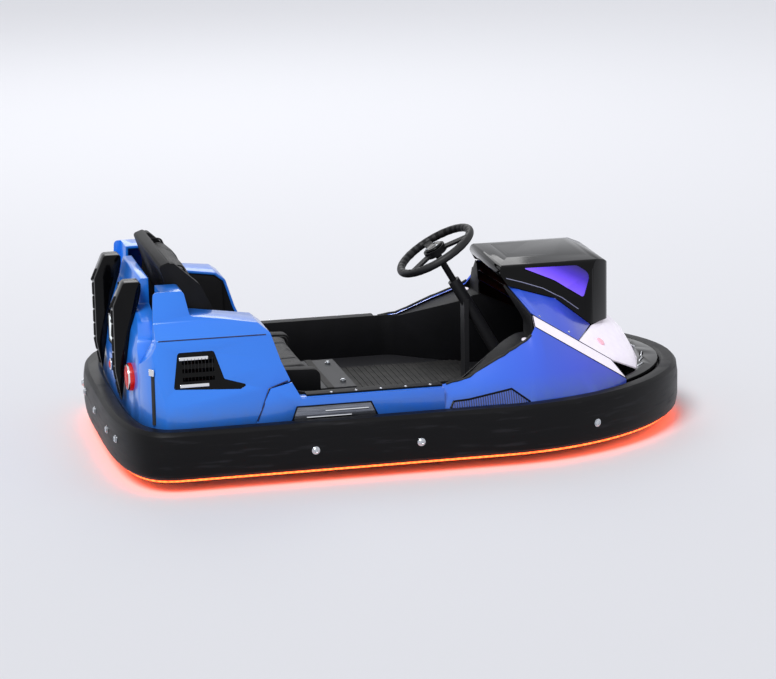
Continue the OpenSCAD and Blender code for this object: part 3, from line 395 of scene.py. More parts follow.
PANELS = [
    # node, material, slot, edge radius in millimetres
    ("bumper", rubber_epdm, "rubber", 3.0),
    ("underglow_strip", acrylic_glow_strip, "glow", 0.0),
    ("rear_pod_left", abs_gloss_blue, "body_blue", 2.2),
    ("rear_pod_right", abs_gloss_blue, "body_blue", 2.2),
    ("side_vents", abs_gloss_black, "black_gloss", 1.2),
    ("side_panels", abs_gloss_blue, "body_blue", 1.6),
    ("kick_plates", aluminium_brushed, "kick_metal", 1.2),
    ("front_fender_left", abs_gloss_blue, "body_blue", 1.2),
    ("front_fender_right", abs_gloss_blue, "body_blue", 1.2),
    ("side_markers", polycarbonate_marker, "marker_blue", 1.0),
    ("light_bars", acrylic_opal_lit, "lit_white", 1.0),
    ("hood_panels", abs_gloss_blue, "body_blue", 1.6),
    ("nose_fascia", acrylic_opal_lit, "lit_white", 1.0),
    ("front_tray", abs_gloss_black, "black_gloss", 1.5),
    ("cowl", abs_gloss_black, "black_gloss", 2.2),
    ("cowl_windows", polycarbonate_violet, "violet", 1.0),
    ("cockpit_liner", abs_grained_black, "black_plastic", 1.5),
    ("rear_cover", abs_gloss_blue, "body_blue", 2.2),
    ("rear_ribs", abs_gloss_black, "black_gloss", 4.0),
    ("tail_lamps", acrylic_red_lamp, "lamp_red", 2.0),
    ("rear_controls", abs_gloss_black, "black_plastic", 2.0),
    ("seat_shell", abs_grained_black, "black_plastic", 6.0),
]
panel = {}
for node_name, material, slot, radius in PANELS:
    piece = panel[node_name] = merged_copy(node_name, node_name + "_moulded")
    limit = BEVEL_FROM_ON_COWL if node_name == "cowl" else BEVEL_FROM
    if radius:
        rounded_edges(piece, radius, limit=limit, shading=SHARP_FROM)
    else:
        smooth(piece, SHARP_FROM)
    wear(piece, material, slot)
    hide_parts(node_name)
    print(node_name, len(piece.data.polygons), "faces")

# %% [markdown]
# The running gear keeps its CAD shapes, which are turned and cast parts already. They only get their
# metal.

# %% Finishes on the running gear
GEAR = [
    (steel_powder_coat, ["frame_hoop", "chassis_frame", "floor_pan", "front_axle", "steering_column"]),
    (battery_case, ["battery"]),
    (aluminium_cast, ["transaxle", "knuckle_left", "knuckle_right"]),
    (steel_turned, ["tie_rod_left", "tie_rod_right", "pedals"]),
    (aluminium_wheel, ["rim_front_left", "rim_front_right", "rim_rear_left", "rim_rear_right"]),
    (abs_grained_black, ["steering_wheel"]),
]
for material, names in GEAR:
    for name in names:
        nodes[name].data.materials.clear()
        nodes[name].data.materials.append(material)
print("running gear finished")

# %% [markdown]
# The lit and blue skins are painted on their outer face only. Their backs are bare black plastic, as
# one sees when looking through the cockpit at the far side, so the inward faces get a second finish.

# %% Black backs of the skins
SKINS = [
    # node, and how far its outer face looks forward and up for each step outwards
    ("hood_panels", 0.15, 0.9),
    ("light_bars", 0.15, 0.9),
    ("front_fender_left", 0.15, 0.7),
    ("front_fender_right", 0.15, 0.7),
    ("nose_fascia", 1.6, 1.0),
]


def outwards(c, forward, lift):
    return Vector((forward, 1 if c.y > 0 else -1, lift)).normalized()


for node_name, forward, lift in SKINS:
    mesh = panel[node_name].data
    mesh.materials.append(abs_grained_black)
    inward = [face for face in mesh.polygons if face.normal.dot(outwards(face.center, forward, lift)) < -0.25]
    for face in inward:
        face.material_index = 1
    print(node_name, len(inward), "faces turned black")

# %% [markdown]
# Small parts are modelled once at the origin, standing on the XY plane with +Z outwards, and then
# copied onto the kart. A ray finds the panel's surface and its normal, so every part sits on what
# carries it, and a left and a right side come from the same row of a table. Sizes of parts are in
# millimetres, and places on the kart are in metres.

# %% Modelling helpers
def corners(node_name):
    return [Vector(corner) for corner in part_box(node_name)]


def applied():
    bpy.ops.object.transform_apply(location=True, rotation=True, scale=True)
    return bpy.context.object


def cylinder(radius, depth, sides=24):
    deselect()
    bpy.ops.mesh.primitive_cylinder_add(vertices=sides, radius=radius * MM, depth=depth * MM,
                                        location=(0, 0, depth * MM / 2))
    return applied()


def slab(centre, size):
    """A box by its centre and its size in metres."""
    deselect()
    bpy.ops.mesh.primitive_cube_add(size=1, location=centre, scale=size)
    return applied()


def block(x, y, z):
    return slab((0, 0, z * MM / 2), (x * MM, y * MM, z * MM))


def choose(piece, test=lambda c, n: True):
    """Open a piece for editing with the faces selected whose centre and normal pass the test."""
    mode("EDIT", piece)
    bpy.ops.mesh.select_mode(type="FACE")
    bpy.ops.mesh.select_all(action="DESELECT")
    mode("OBJECT")
    for face in piece.data.polygons:
        face.select = test(face.center, face.normal)
    mode("EDIT")


def inset(thickness, rise=0.0):
    bpy.ops.mesh.inset(thickness=thickness * MM, depth=rise * MM)


def extrude(x, y, z):
    bpy.ops.mesh.extrude_region_move(TRANSFORM_OT_translate={"value": (x * MM, y * MM, z * MM)})


def resize(x, y, z):
    bpy.ops.transform.resize(value=(x, y, z))


def rotate(degrees, axis, centre=(0, 0, 0)):
    bpy.ops.transform.rotate(value=math.radians(degrees), orient_axis=axis, center_override=tuple(centre))


def stepped(piece, *levels):
    """Select the top and inset it once for each level, by the level's width and rise."""
    choose(piece, lambda c, n: n.z > 0.9)
    for width, rise in levels:
        inset(width, rise)


def probe(piece, start, direction):
    hit, place, normal, _ = piece.ray_cast(Vector(start), Vector(direction).normalized())
    return (place, normal) if hit else None


def touch(piece, start, direction):
    found = probe(piece, start, direction)
    if not found:
        raise ValueError("no surface of " + piece.name + " from " + str(start))
    return found


def from_side(piece, x, z, side):
    return touch(piece, (x, side * 2, z), (0, -side, 0))


def from_behind(piece, y, z):
    return touch(piece, (-2, y, z), (1, 0, 0))


def from_above(piece, x, y):
    return touch(piece, (x, y, 1.0), (0, 0, -1))


def stand(place, normal, spin=0.0):
    """The matrix that stands a part on a surface, turned by spin about the normal."""
    upright = Vector(normal).to_track_quat("Z", "Y").to_matrix().to_4x4()
    return Matrix.Translation(place) @ upright @ Matrix.Rotation(spin, 4, "Z")


def aligned(forward, across, normal, place):
    """The matrix of a part whose three axes and place are known."""
    matrix = Matrix((forward, across, normal)).transposed().to_4x4()
    matrix.translation = place
    return matrix


def joined(pieces, name, material, slot, body="chassis"):
    deselect()
    for piece in pieces:
        piece.select_set(True)
    bpy.context.view_layer.objects.active = pieces[0]
    if len(pieces) > 1:
        bpy.ops.object.join()
    pieces[0].name = name
    wear(pieces[0], material, slot, body)
    return pieces[0]


def onto(master, name, places, material, slot, body="chassis"):
    """Give every place its own copy of the master's mesh, then join the copies as one piece."""
    copies = []
    for place in places:
        mesh = master.data.copy()
        mesh.transform(place if isinstance(place, Matrix) else stand(*place))
        copies.append(linked(name, mesh))
    activate(master)
    bpy.ops.object.delete()
    return joined(copies, name, material, slot, body)


def thicken(line, radius, resolution=2):
    """Turn a line of edges into a round bar: the line becomes a curve with a bevel."""
    activate(line)
    bpy.ops.object.convert(target="CURVE")
    line = bpy.context.object
    line.data.bevel_depth = radius * MM
    line.data.bevel_resolution = resolution
    line.data.use_fill_caps = True
    bpy.ops.object.convert(target="MESH")
    smooth(bpy.context.object, 50)
    return bpy.context.object


def tube(points, radius, resolution=2):
    """A round bar through the points: one vertex is extruded from each of them to the next."""
    deselect()
    bpy.ops.mesh.primitive_plane_add(size=0.01)
    piece = bpy.context.object
    mode("EDIT")
    bpy.ops.mesh.select_mode(type="VERT")
    bpy.ops.mesh.select_all(action="SELECT")
    bpy.ops.mesh.merge(type="CENTER")
    bpy.ops.transform.translate(value=points[0])
    for start, end in zip(points, points[1:]):
        bpy.ops.mesh.extrude_region_move(TRANSFORM_OT_translate={"value": Vector(end) - Vector(start)})
    mode("OBJECT")
    return thicken(piece, radius, resolution)


def outline_tube(source, test, radius, push=(0, 0, 0)):
    """A bar round the outline of the faces that pass the test."""
    copy = linked("outline", source.data.copy())
    choose(copy, test)
    bpy.ops.mesh.region_to_loop()
    bpy.ops.mesh.duplicate()
    bpy.ops.transform.translate(value=push)
    bpy.ops.mesh.separate(type="SELECTED")
    mode("OBJECT")
    line = [o for o in bpy.context.selected_objects if o != copy][0]
    activate(copy)
    bpy.ops.object.delete()
    return thicken(line, radius)


def steps(a, b, count):
    """Points at even steps from a to b, both in (x, z)."""
    return [(a[0] + (b[0] - a[0]) * i / count, a[1] + (b[1] - a[1]) * i / count) for i in range(count + 1)]


def along_panel(piece, path, side, lift=0.0):
    """Points of (x, z) laid on the outside of a panel."""
    return [from_side(piece, x, z, side)[0] + Vector((0, side * lift, 0)) for x, z in path]


print("modelling helpers ready")

# %% [markdown]
# The ring is held by button-head screws on washers, three down each side and five across the tail.
# One screw starts as a thin cylinder, the washer. Insets and extrudes raise the shank and the dome
# and sink the hexagon.

# %% Screws of the ring
RING_SCREWS_X, RING_SCREWS_Z = (-0.373, -0.034, 0.56), 0.112
TAIL_SCREWS_Y, TAIL_SCREWS_Z = (-0.365, -0.245, 0.0, 0.245, 0.365), 0.135


def button_screw(radius):
    screw = cylinder(radius, radius * 0.2)
    stepped(screw, (radius * 0.2, 0))
    extrude(0, 0, radius * 0.22)
    for width, rise in ((0.14, 0.14), (0.2, 0.09), (0.1, 0)):
        inset(radius * width, radius * rise)
    extrude(0, 0, -radius * 0.2)
    rounded_edges(screw, radius * 0.03, 1, 50)
    return screw


ring = panel["bumper"]
spots = [(*from_side(ring, x, RING_SCREWS_Z, side), 0.4) for x in RING_SCREWS_X for side in SIDES]
spots += [(*from_behind(ring, y, TAIL_SCREWS_Z), 0.9) for y in TAIL_SCREWS_Y]
onto(button_screw(13), "ring_screws", spots, steel_zinc, "steel")
print(len(spots), "ring screws")

# %% [markdown]
# Each vent has a broad chrome bar above and below its slots, and behind the slots stands a fine
# grille. The bar is a block whose top is inset and raised, laid flat on the panel by a ray beside the
# slots. The grille is one thin blade, copied along the recess.

# %% Vents
VENT_BARS = [(0.066, 0.103), (0.064, 0.0205)]  # from the vent's rear and lower edge
BLADES, BLADE_PITCH = 9, 0.011
vent = panel["side_vents"]
vent_rear, _, vent_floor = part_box("side_vents")[0]


def laid_along(piece, x, z, side, reach=0.05):
    """The matrix of a part that lies on the flank with its X axis along the kart."""
    found = [probe(piece, (x + reach * i / 8, side * 2, z), (0, -side, 0)) for i in range(-8, 9)]
    place, normal = max((hit for hit in found if hit), key=lambda hit: hit[0].y * side)
    across = normal.cross(Vector((1, 0, 0))).normalized()
    forward = across.cross(normal).normalized()
    return aligned(forward, across, normal, place + forward * ((x - place.x) / forward.x))


bar = block(92, 11, 4)
stepped(bar, (2.5, 1.5))
rounded_edges(bar, 1.2, 3)
spots = [laid_along(vent, vent_rear + x, vent_floor + z, side) for side in SIDES for x, z in VENT_BARS]
onto(bar, "vent_chrome_bars", spots, chrome_plate, "rim_metal")

spots = []
for side in SIDES:
    recess_y = from_side(vent, vent_rear + 0.02, vent_floor + 0.06, side)[0].y - side * 0.004
    for i in range(BLADES):
        spots.append((Vector((vent_rear + 0.036 + i * BLADE_PITCH, recess_y, vent_floor + 0.03)), (0, 0, 1)))
blade = block(2.2, 5, 74)
choose(blade, lambda c, n: abs(n.y) > 0.9)
resize(0.5, 1, 1)
rounded_edges(blade, 0.4, 1)
onto(blade, "vent_grille", spots, steel_powder_coat, "black_gloss")
print("vents dressed")

# %% [markdown]
# A black gasket runs round every lens and window, which keeps the rain and the glow in. It follows
# the outline of the lens itself: the outer faces are selected, their border loop is copied out, and
# the loop becomes a thin bar.

# %% Gaskets and bezels
def on_side(c, n):
    return n.y * (1 if c.y > 0 else -1) > 0.55


def on_flank(c, n):
    return n.dot(outwards(c, 0.15, 0.9)) > 0.75


GASKETS = [
    # node, its shown faces, radius in millimetres
    ("side_markers", on_side, 3.2),
    ("cowl_windows", on_side, 1.6),
    ("kick_plates", on_side, 2.4),
    ("light_bars", on_flank, 1.5),
]
gaskets = joined([outline_tube(panel[name], test, radius) for name, test, radius in GASKETS],
                 "lens_gaskets", abs_gloss_black, "black_gloss")
print("gaskets", len(gaskets.data.polygons), "faces")

# %% [markdown]
# The tail carries two round lamps, a bright screen, a push button and a recessed handle. A lamp has a
# chrome bezel and a domed red lens with rings of prisms; the rings are concentric insets that step up
# and down. The bezel is an open cylinder given a wall by Solidify.

# %% Tail lamps
REARWARD = Vector((-1, 0, 0))
lamp_low, lamp_high = corners("tail_lamps")
lamp_radius = (lamp_high.z - lamp_low.z) / 2 / MM
lamp_y, lamp_z = lamp_high.y - lamp_radius * MM, (lamp_high.z + lamp_low.z) / 2
spots = [(Vector((lamp_low.x - 0.001, side * lamp_y, lamp_z)), REARWARD) for side in SIDES]

lens = cylinder(lamp_radius - 7, 3, 48)
prism_rings = [level for rise in (1, -1, 1, -1, 1) for level in ((2.2, 0), (0.6, rise * 0.9))]
stepped(lens, (2.5, 2.0), *prism_rings, (5, 1.2), (5, 0.6))
rounded_edges(lens, 0.25, 1)
onto(lens, "tail_lamp_lenses", spots, acrylic_red_lamp, "lamp_red")

deselect()
bpy.ops.mesh.primitive_cylinder_add(vertices=64, radius=(lamp_radius - 3) * MM, depth=8 * MM, end_fill_type="NOTHING")
bezel = bpy.context.object
apply_modifier(bezel, "SOLIDIFY", thickness=4.5 * MM, offset=0)
choose(bezel, lambda c, n: n.z > 0.9)
resize(0.975, 0.975, 1)
rounded_edges(bezel, 1.2, 3)
onto(bezel, "tail_lamp_bezels", spots, chrome_plate, "rim_metal")
print("tail lamps dressed")

# %% [markdown]
# The screen shows the kart's number to the others. It is a bright window in a black bezel, and the
# numeral is cut from black film, so it is a text turned into a thin plate. The button below is a red
# dome in a chrome collar, and the handle is a bent bar in its recess.

# %% Screen, number, button and handle
SCREEN_Z, BUTTON_Z = 0.40, 0.285
controls = panel["rear_controls"]
screen_face, _ = from_behind(controls, 0.0, SCREEN_Z)


def crosswise(piece):
    """Lay a screen part across the kart where its long side stands upright."""
    if piece.dimensions.z > piece.dimensions.y:
        choose(piece)
        rotate(90, "X", screen_face)
        mode("OBJECT")


glass = block(104, 82, 2)
stepped(glass, (3, 0.8))
rounded_edges(glass, 1.0)
crosswise(onto(glass, "screen_glass", [(screen_face - Vector((0.0002, 0, 0)), REARWARD, math.radians(90))],
               acrylic_display, "lit_white"))

bezel = block(124, 102, 5)
stepped(bezel, (10, 0))
extrude(0, 0, -4.0)
rounded_edges(bezel, 1.4)
choose(bezel)
rotate(90, "Z")
crosswise(onto(bezel, "screen_bezel", [(screen_face + Vector((0.0005, 0, 0)), REARWARD)],
               abs_gloss_black, "black_gloss"))

deselect()
bpy.ops.object.text_add()
text = bpy.context.object.data
text.body, text.size, text.extrude = "7", 0.078, 0.0006
text.align_x = text.align_y = "CENTER"
bpy.ops.object.convert(target="MESH")
numeral = bpy.context.object
numeral.matrix_world = aligned(Vector((0, -1, 0)), Vector((0, 0, 1)), REARWARD, screen_face - Vector((0.0036, 0, 0)))
joined([applied()], "screen_number", abs_gloss_black, "black_gloss")

button_spot = [(from_behind(controls, 0.0, BUTTON_Z)[0], REARWARD)]
dome = cylinder(13, 3, 40)
stepped(dome, (1.6, 2.2), (2.6, 1.6), (3.2, 0.8))
rounded_edges(dome, 0.5)
onto(dome, "button_dome", button_spot, acrylic_red_lamp, "lamp_red")
collar = cylinder(20.5, 3, 48)
stepped(collar, (5.5, 1.5))
extrude(0, 0, -3)
rounded_edges(collar, 0.8)
onto(collar, "button_collar", button_spot, chrome_plate, "rim_metal")

controls_top = corners("rear_controls")[1]
handle_x, handle_z = controls_top.x - 0.040, controls_top.z - 0.020
bend = [(handle_x + 0.018, -0.062), (handle_x + 0.004, -0.058), (handle_x, -0.045)]
arch = bend + [(handle_x, y) for y in (-0.02, 0.0, 0.02)] + [(x, -y) for x, y in reversed(bend)]
joined([tube([(x, y, handle_z) for x, y in arch], 6.5, 4)], "handle_bar", rubber_tyre, "black_plastic")
print("screen, number, button and handle ready")

# %% [markdown]
# The ribs behind the seat are black mouldings with ridges across, which stiffen them. One ridge is a
# bar with tapered ends, and it is set at even steps up each rib.

# %% Ridges on the rear ribs
RIB_Y, RIDGE_LOWEST, RIDGE_PITCH, RIDGES = 0.209, 0.262, 0.046, 7
ridge = block(46, 14, 7)
choose(ridge, lambda c, n: n.z > 0.9)
resize(0.82, 0.4, 1)
rounded_edges(ridge, 1.6, 3)
spots = []
for side in SIDES:
    for i in range(RIDGES):
        place, normal = from_behind(panel["rear_ribs"], side * RIB_Y, RIDGE_LOWEST + i * RIDGE_PITCH)
        spots.append((place + Vector((0.002, 0, 0)), normal, math.radians(90)))
onto(ridge, "rib_ridges", spots, abs_grained_black, "black_plastic")
print(len(spots), "ridges")

# %% [markdown]
# The seat has two vinyl pads on foam. Real foam swells between its seams, so each pad starts from its
# CAD solid, a little smaller, gets an even skin of small squares, and is blown up by a cloth
# simulation under light pressure. The move of each point is capped, so the pad keeps its size, and it
# never goes into the seat's shell. Sewn channels are then pressed into the side that shows.

# %% Swollen pads
PAD_SHRINK, PAD_SINK, PAD_SQUARE = 0.965, 0.012, 0.0055  # share of the CAD size, then metres
PAD_PRESSURE, PAD_FRAMES = 4.0, 20


def swell(node_name, name, into_shell, cap):
    piece = merged_copy(node_name, name)
    low, high = corners(node_name)
    choose(piece)
    pad_centre = (low + high) / 2 + into_shell * PAD_SINK
    bpy.ops.transform.resize(value=(PAD_SHRINK, PAD_SHRINK, PAD_SHRINK), center_override=tuple(pad_centre))
    mode("OBJECT")
    apply_modifier(piece, "REMESH", mode="VOXEL", voxel_size=PAD_SQUARE)
    rest = [v.co.copy() for v in piece.data.vertices]
    activate(piece)
    cloth = piece.modifiers.new("Cloth", "CLOTH")
    cloth.settings.use_pressure = True
    cloth.settings.uniform_pressure_force = PAD_PRESSURE
    cloth.settings.tension_stiffness = cloth.settings.compression_stiffness = 25
    cloth.settings.bending_stiffness = 3
    cloth.settings.effector_weights.gravity = 0
    for frame_number in range(1, PAD_FRAMES + 1):
        bpy.context.scene.frame_set(frame_number)
    bpy.ops.object.modifier_apply(modifier=cloth.name)
    bpy.context.scene.frame_set(1)
    for vertex, start in zip(piece.data.vertices, rest):
        move = vertex.co - start
        if move.dot(into_shell) > 0:
            move -= into_shell * move.dot(into_shell)
        if move.length > cap:
            move = move.normalized() * cap
        vertex.co = start + move
    return piece


def seam_grooves(piece, lines, axis, facing, depth, width):
    """Press sewn channels into the side that faces outwards, along lines of constant axis value."""
    shown = [vertex.normal.dot(facing) > 0.3 for vertex in piece.data.vertices]
    for vertex, outside in zip(piece.data.vertices, shown):
        if outside:
            pull = sum(math.exp(-((vertex.co[axis] - line) / (width * MM)) ** 2) for line in lines)
            vertex.co -= facing * depth * MM * min(pull, 1.0)


CHANNELS = (-0.105, 0.105)
CROSS_SEAMS = (0.36, 0.68)  # shares of the backrest's height
back_low, back_high = corners("seat_back_pad")
base_low, base_high = corners("seat_cushion")
lean = Vector((back_low.x + 0.045, 0, back_high.z)) - Vector((back_high.x - 0.045, 0, back_low.z))
back_into = Vector((-lean.z, 0, lean.x)).normalized()
base_into = Vector((0, 0, -1))

seat_base = swell("seat_cushion", "seat_base_pad", base_into, 0.010)
seat_back = swell("seat_back_pad", "seat_back_cushion", back_into, 0.012)
seam_grooves(seat_base, CHANNELS, 1, -base_into, 5.0, 5.0)
seam_grooves(seat_back, CHANNELS, 1, -back_into, 6.0, 5.0)
cross_seams = [back_low.z + (back_high.z - back_low.z) * share for share in CROSS_SEAMS]
seam_grooves(seat_back, cross_seams, 2, -back_into, 5.0, 6.0)
for pad, node_name, fill in [(seat_base, "seat_cushion", 0.75), (seat_back, "seat_back_pad", 0.7)]:
    apply_modifier(pad, "SUBSURF", levels=1)
    smooth(pad, 80)
    wear(pad, vinyl_black, "seat_vinyl")
    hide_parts(node_name)
    print(pad.name, len(pad.data.polygons), "faces")

# %% [markdown]
# Each channel is held by a row of stitches. One stitch is a short thread that dips at both ends, and
# a ray drops every copy onto the swollen vinyl, so the row follows the crown of the pad. A round
# piping runs along the outline of each pad's two ends.

# %% Stitches and piping
STITCH_PITCH = 0.009
STITCH_ROWS = [y + shift for y in CHANNELS for shift in (-0.007, 0.007)]
stitch = cylinder(0.8, 5.5, 8)
choose(stitch, lambda c, n: abs(n.z) > 0.9)
resize(0.35, 0.35, 1)
rounded_edges(stitch, 0.2, 1)
choose(stitch)
bpy.ops.transform.translate(value=(0, 0, -2.75 * MM))
rotate(90, "Y")
mode("OBJECT")


def pitched(start, length):
    return [start + i * STITCH_PITCH for i in range(int(length / STITCH_PITCH))]


def stitch_row(pad, starts, ray, row):
    found = [probe(pad, start, ray) for start in starts]
    for place, normal in (hit for hit in found if hit):
        side = row.cross(normal).normalized()
        yield aligned(normal.cross(side).normalized(), side, normal, place + normal * 0.0003)


spots = []
for y in STITCH_ROWS:
    base_starts = [(x, y, base_high.z + 0.2) for x in pitched(base_low.x + 0.03, base_high.x - base_low.x - 0.05)]
    back_starts = [(back_high.x + 0.3, y, z) for z in pitched(back_low.z + 0.03, back_high.z - back_low.z - 0.06)]
    spots += stitch_row(seat_base, base_starts, base_into, Vector((1, 0, 0)))
    spots += stitch_row(seat_back, back_starts, REARWARD, lean.normalized())
onto(stitch, "seat_stitches", spots, thread_grey, "seat_vinyl")

piping = [outline_tube(nodes[name], lambda c, n: n.y * side > 0.9, 3.0, (0, -side * 0.006, 0))
          for name in ("seat_cushion", "seat_back_pad") for side in (1, -1)]
joined(piping, "seat_piping", vinyl_black, "seat_vinyl")
print(len(spots), "stitches and", len(piping), "runs of piping")

# %% [markdown]
# The steering wheel is a steel ring foamed over in polyurethane, with shallow finger grooves on the
# inside. A torus slightly thicker than the CAD ring is the foam; bands of its faces are shrunk for
# the grooves. The boss has a padded cap held by three screws.

# %% Steering wheel
STEER_CENTRE = Vector((0.165, 0, 0.59))
STEER_AXIS = Vector((-0.5, 0, 0.866)).normalized()
CAD_TUBE, GRIP_TUBE = 0.013, 0.0142  # radius of the ring's section without and with its foam
GROOVE_PITCH, GROOVE_WIDTH = 12, 4  # degrees round the ring
wheel_low, wheel_high = corners("steering_wheel")
ring_radius = (wheel_high.y - wheel_low.y) / 2 - CAD_TUBE

deselect()
bpy.ops.mesh.primitive_torus_add(major_radius=ring_radius, minor_radius=GRIP_TUBE,
                                 major_segments=96, minor_segments=14)
grip = bpy.context.object
choose(grip, lambda c, n: math.degrees(math.atan2(c.y, c.x)) % GROOVE_PITCH < GROOVE_WIDTH
       and math.hypot(c.x, c.y) < ring_radius)
bpy.ops.transform.shrink_fatten(value=-0.0012)
mode("OBJECT")
apply_modifier(grip, "SUBSURF", levels=1)
smooth(grip, 80)
onto(grip, "wheel_grip", [(STEER_CENTRE, STEER_AXIS)], polyurethane_foam, "black_plastic", "steering")

hub_top, _ = touch(nodes["steering_wheel"], STEER_CENTRE + STEER_AXIS * 0.3, -STEER_AXIS)
cap = cylinder(31, 5, 48)
stepped(cap, (3, 2.5), (6, 1.5), (7, -1.0))
rounded_edges(cap, 1.0)
hub_cap = onto(cap, "wheel_hub_cap", [(hub_top - STEER_AXIS * 0.001, STEER_AXIS)],
               abs_gloss_black, "black_gloss", "steering")
across = Vector((0, 1, 0))
upward = STEER_AXIS.cross(across)
spots = []
for i in range(3):
    angle = math.radians(90 + 120 * i)
    aim = hub_top + (across * math.cos(angle) + upward * math.sin(angle)) * 0.022
    spots.append((*touch(hub_cap, aim + STEER_AXIS * 0.1, -STEER_AXIS), 0.3 * i))
onto(button_screw(3.6), "wheel_hub_screws", spots, steel_zinc, "steel", "steering")
print("steering wheel ready")

# %% [markdown]
# The pedals have rubber pads with ribs across, and the floor has a ribbed rubber mat, so that a wet
# shoe doesn't slip. Each is one plate whose top is cut into strips, and every second strip is raised.

# %% Pedal pads and floor mat
MAT_CENTRE, MAT_LENGTH, MAT_WIDTH, MAT_STRIPS = 0.07, 0.52, 0.62, 52


def ribbed(piece, axis, start, pitch, count, width, rise):
    """Cut a plate across an axis, and raise every second strip of its top."""
    normal = [float(i == axis) for i in range(3)]
    mode("EDIT", piece)
    for i in range(1, count):
        bpy.ops.mesh.select_all(action="SELECT")
        bpy.ops.mesh.bisect(plane_co=[(start + pitch * i) * part for part in normal], plane_no=normal)
    choose(piece, lambda c, n: n.z > 0.9 and int((c[axis] - start) // pitch) % 2 == 1)
    inset(width)
    extrude(0, 0, rise)
    mode("OBJECT")


pad = block(52, 62, 4)
ribbed(pad, 1, -0.031, 0.0062, 10, 0.8, 1.8)
rounded_edges(pad, 0.5, 1)
spots = [touch(nodes["pedals"], (0.2, side * 0.12, 0.235), (1, 0, 0)) for side in SIDES]
onto(pad, "pedal_pads", spots, rubber_tyre, "black_plastic")

floor_z = from_above(nodes["floor_pan"], 0.1, 0.0)[0].z
mat = slab((MAT_CENTRE, 0, floor_z + 0.0021), (MAT_LENGTH, MAT_WIDTH, 0.004))
ribbed(mat, 0, MAT_CENTRE - MAT_LENGTH / 2, MAT_LENGTH / MAT_STRIPS, MAT_STRIPS, 1.2, 2.0)
smooth(joined([mat], "floor_mat", rubber_tyre, "rubber"), 30)
print("pads and mat ready")

# %% [markdown]
# Each tyre stands for its CAD solid, with the same profile and a tread. It starts as an open band.
# Two bisected strips are pressed in as grooves, every second shoulder face is sunk as a notch, and
# the open edges are extruded and scaled ring by ring down the side walls, then bridged at the bore.
# It has 28 sides only, because the tyres hide under the ring. A hub cap and five nuts finish a wheel.

# %% Tyres, hub caps and nuts
TYRE_SIDES = 28
TYRE_BORE = 0.0645
GROOVE_FROM, GROOVE_TO = 0.007, 0.011  # distance of each groove's edges from the tyre's middle
NUTS, NUT_CIRCLE = 5, 0.031


def modelled_tyre(radius, width):
    shoulder = width / 2 - 0.014
    deselect()
    bpy.ops.mesh.primitive_cylinder_add(vertices=TYRE_SIDES, radius=radius, depth=shoulder * 2,
                                        end_fill_type="NOTHING", rotation=(math.radians(90), 0, 0))
    tyre = applied()
    mode("EDIT")
    for edge in (-GROOVE_TO, -GROOVE_FROM, GROOVE_FROM, GROOVE_TO):
        bpy.ops.mesh.select_all(action="SELECT")
        bpy.ops.mesh.bisect(plane_co=(0, edge, 0), plane_no=(0, 1, 0))
    choose(tyre, lambda c, n: GROOVE_FROM < abs(c.y) < GROOVE_TO)
    bpy.ops.mesh.extrude_region_shrink_fatten(TRANSFORM_OT_shrink_fatten={"value": -0.003})
    choose(tyre, lambda c, n: abs(c.y) > GROOVE_TO
           and int(math.degrees(math.atan2(c.z, c.x)) // (360 / TYRE_SIDES)) % 2)
    bpy.ops.mesh.inset(thickness=0.0025, depth=-0.003, use_individual=True)
    mode("OBJECT")
    mode("EDIT", tyre)
    bpy.ops.mesh.select_mode(type="EDGE")
    at_radius, at_y = radius, shoulder
    for to_radius, to_y in ((radius - 0.006, width / 2 - 0.003), (radius - 0.016, width / 2),
                            (TYRE_BORE + 0.014, width / 2), (TYRE_BORE, width / 2 - 0.010)):
        bpy.ops.mesh.select_all(action="DESELECT")
        bpy.ops.mesh.select_non_manifold(extend=False)
        bpy.ops.mesh.extrude_region_move()
        ratio = to_radius / at_radius
        bpy.ops.transform.resize(value=(ratio, to_y / at_y, ratio), center_override=(0, 0, 0))
        at_radius, at_y = to_radius, to_y
    bpy.ops.mesh.bridge_edge_loops()
    bpy.ops.mesh.select_all(action="SELECT")
    bpy.ops.mesh.normals_make_consistent(inside=False)
    smooth(tyre, 35)
    return tyre


for name in ("front_left", "front_right", "rear_left", "rear_right"):
    side = 1 if name.endswith("left") else -1
    body = "wheel_" + name
    rim = nodes["rim_" + name]
    low, high = corners("tyre_" + name)
    centre = (low + high) / 2
    tyre = onto(modelled_tyre((high.z - low.z) / 2, high.y - low.y), "tyre_" + name + "_moulded",
                [Matrix.Translation(centre)], rubber_tyre, "tyre_rubber", body)
    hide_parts("tyre_" + name)
    rim_low, rim_high = corners("rim_" + name)
    rim_face = rim_high.y if side > 0 else rim_low.y
    outward = Vector((0, side, 0))

    def on_rim(x, z):
        return probe(rim, (centre.x + x, rim_face + side * 0.1, centre.z + z), -outward)

    found = on_rim(0.030, 0)
    seat_y = found[0].y if found else rim_face - side * 0.02
    cap = cylinder(22, 4, 32)
    stepped(cap, (3, 2), (6, 2))
    rounded_edges(cap, 0.8)
    onto(cap, "hub_cap_" + name, [(Vector((centre.x, seat_y, centre.z)), outward)],
         abs_gloss_black, "black_plastic", body)
    nut = cylinder(5.5, 5, 6)
    stepped(nut, (1.2, 0.8))
    rounded_edges(nut, 0.4, 1)
    angles = [math.radians(90 + 360 / NUTS * i) for i in range(NUTS)]
    found = [(on_rim(NUT_CIRCLE * math.cos(angle), NUT_CIRCLE * math.sin(angle)), angle) for angle in angles]
    spots = [(hit[0], outward, angle) for hit, angle in found if hit]
    onto(nut, "wheel_nuts_" + name, spots, steel_zinc, "steel", body)
    print(name, "tyre", len(tyre.data.polygons), "faces,", len(spots), "nuts")

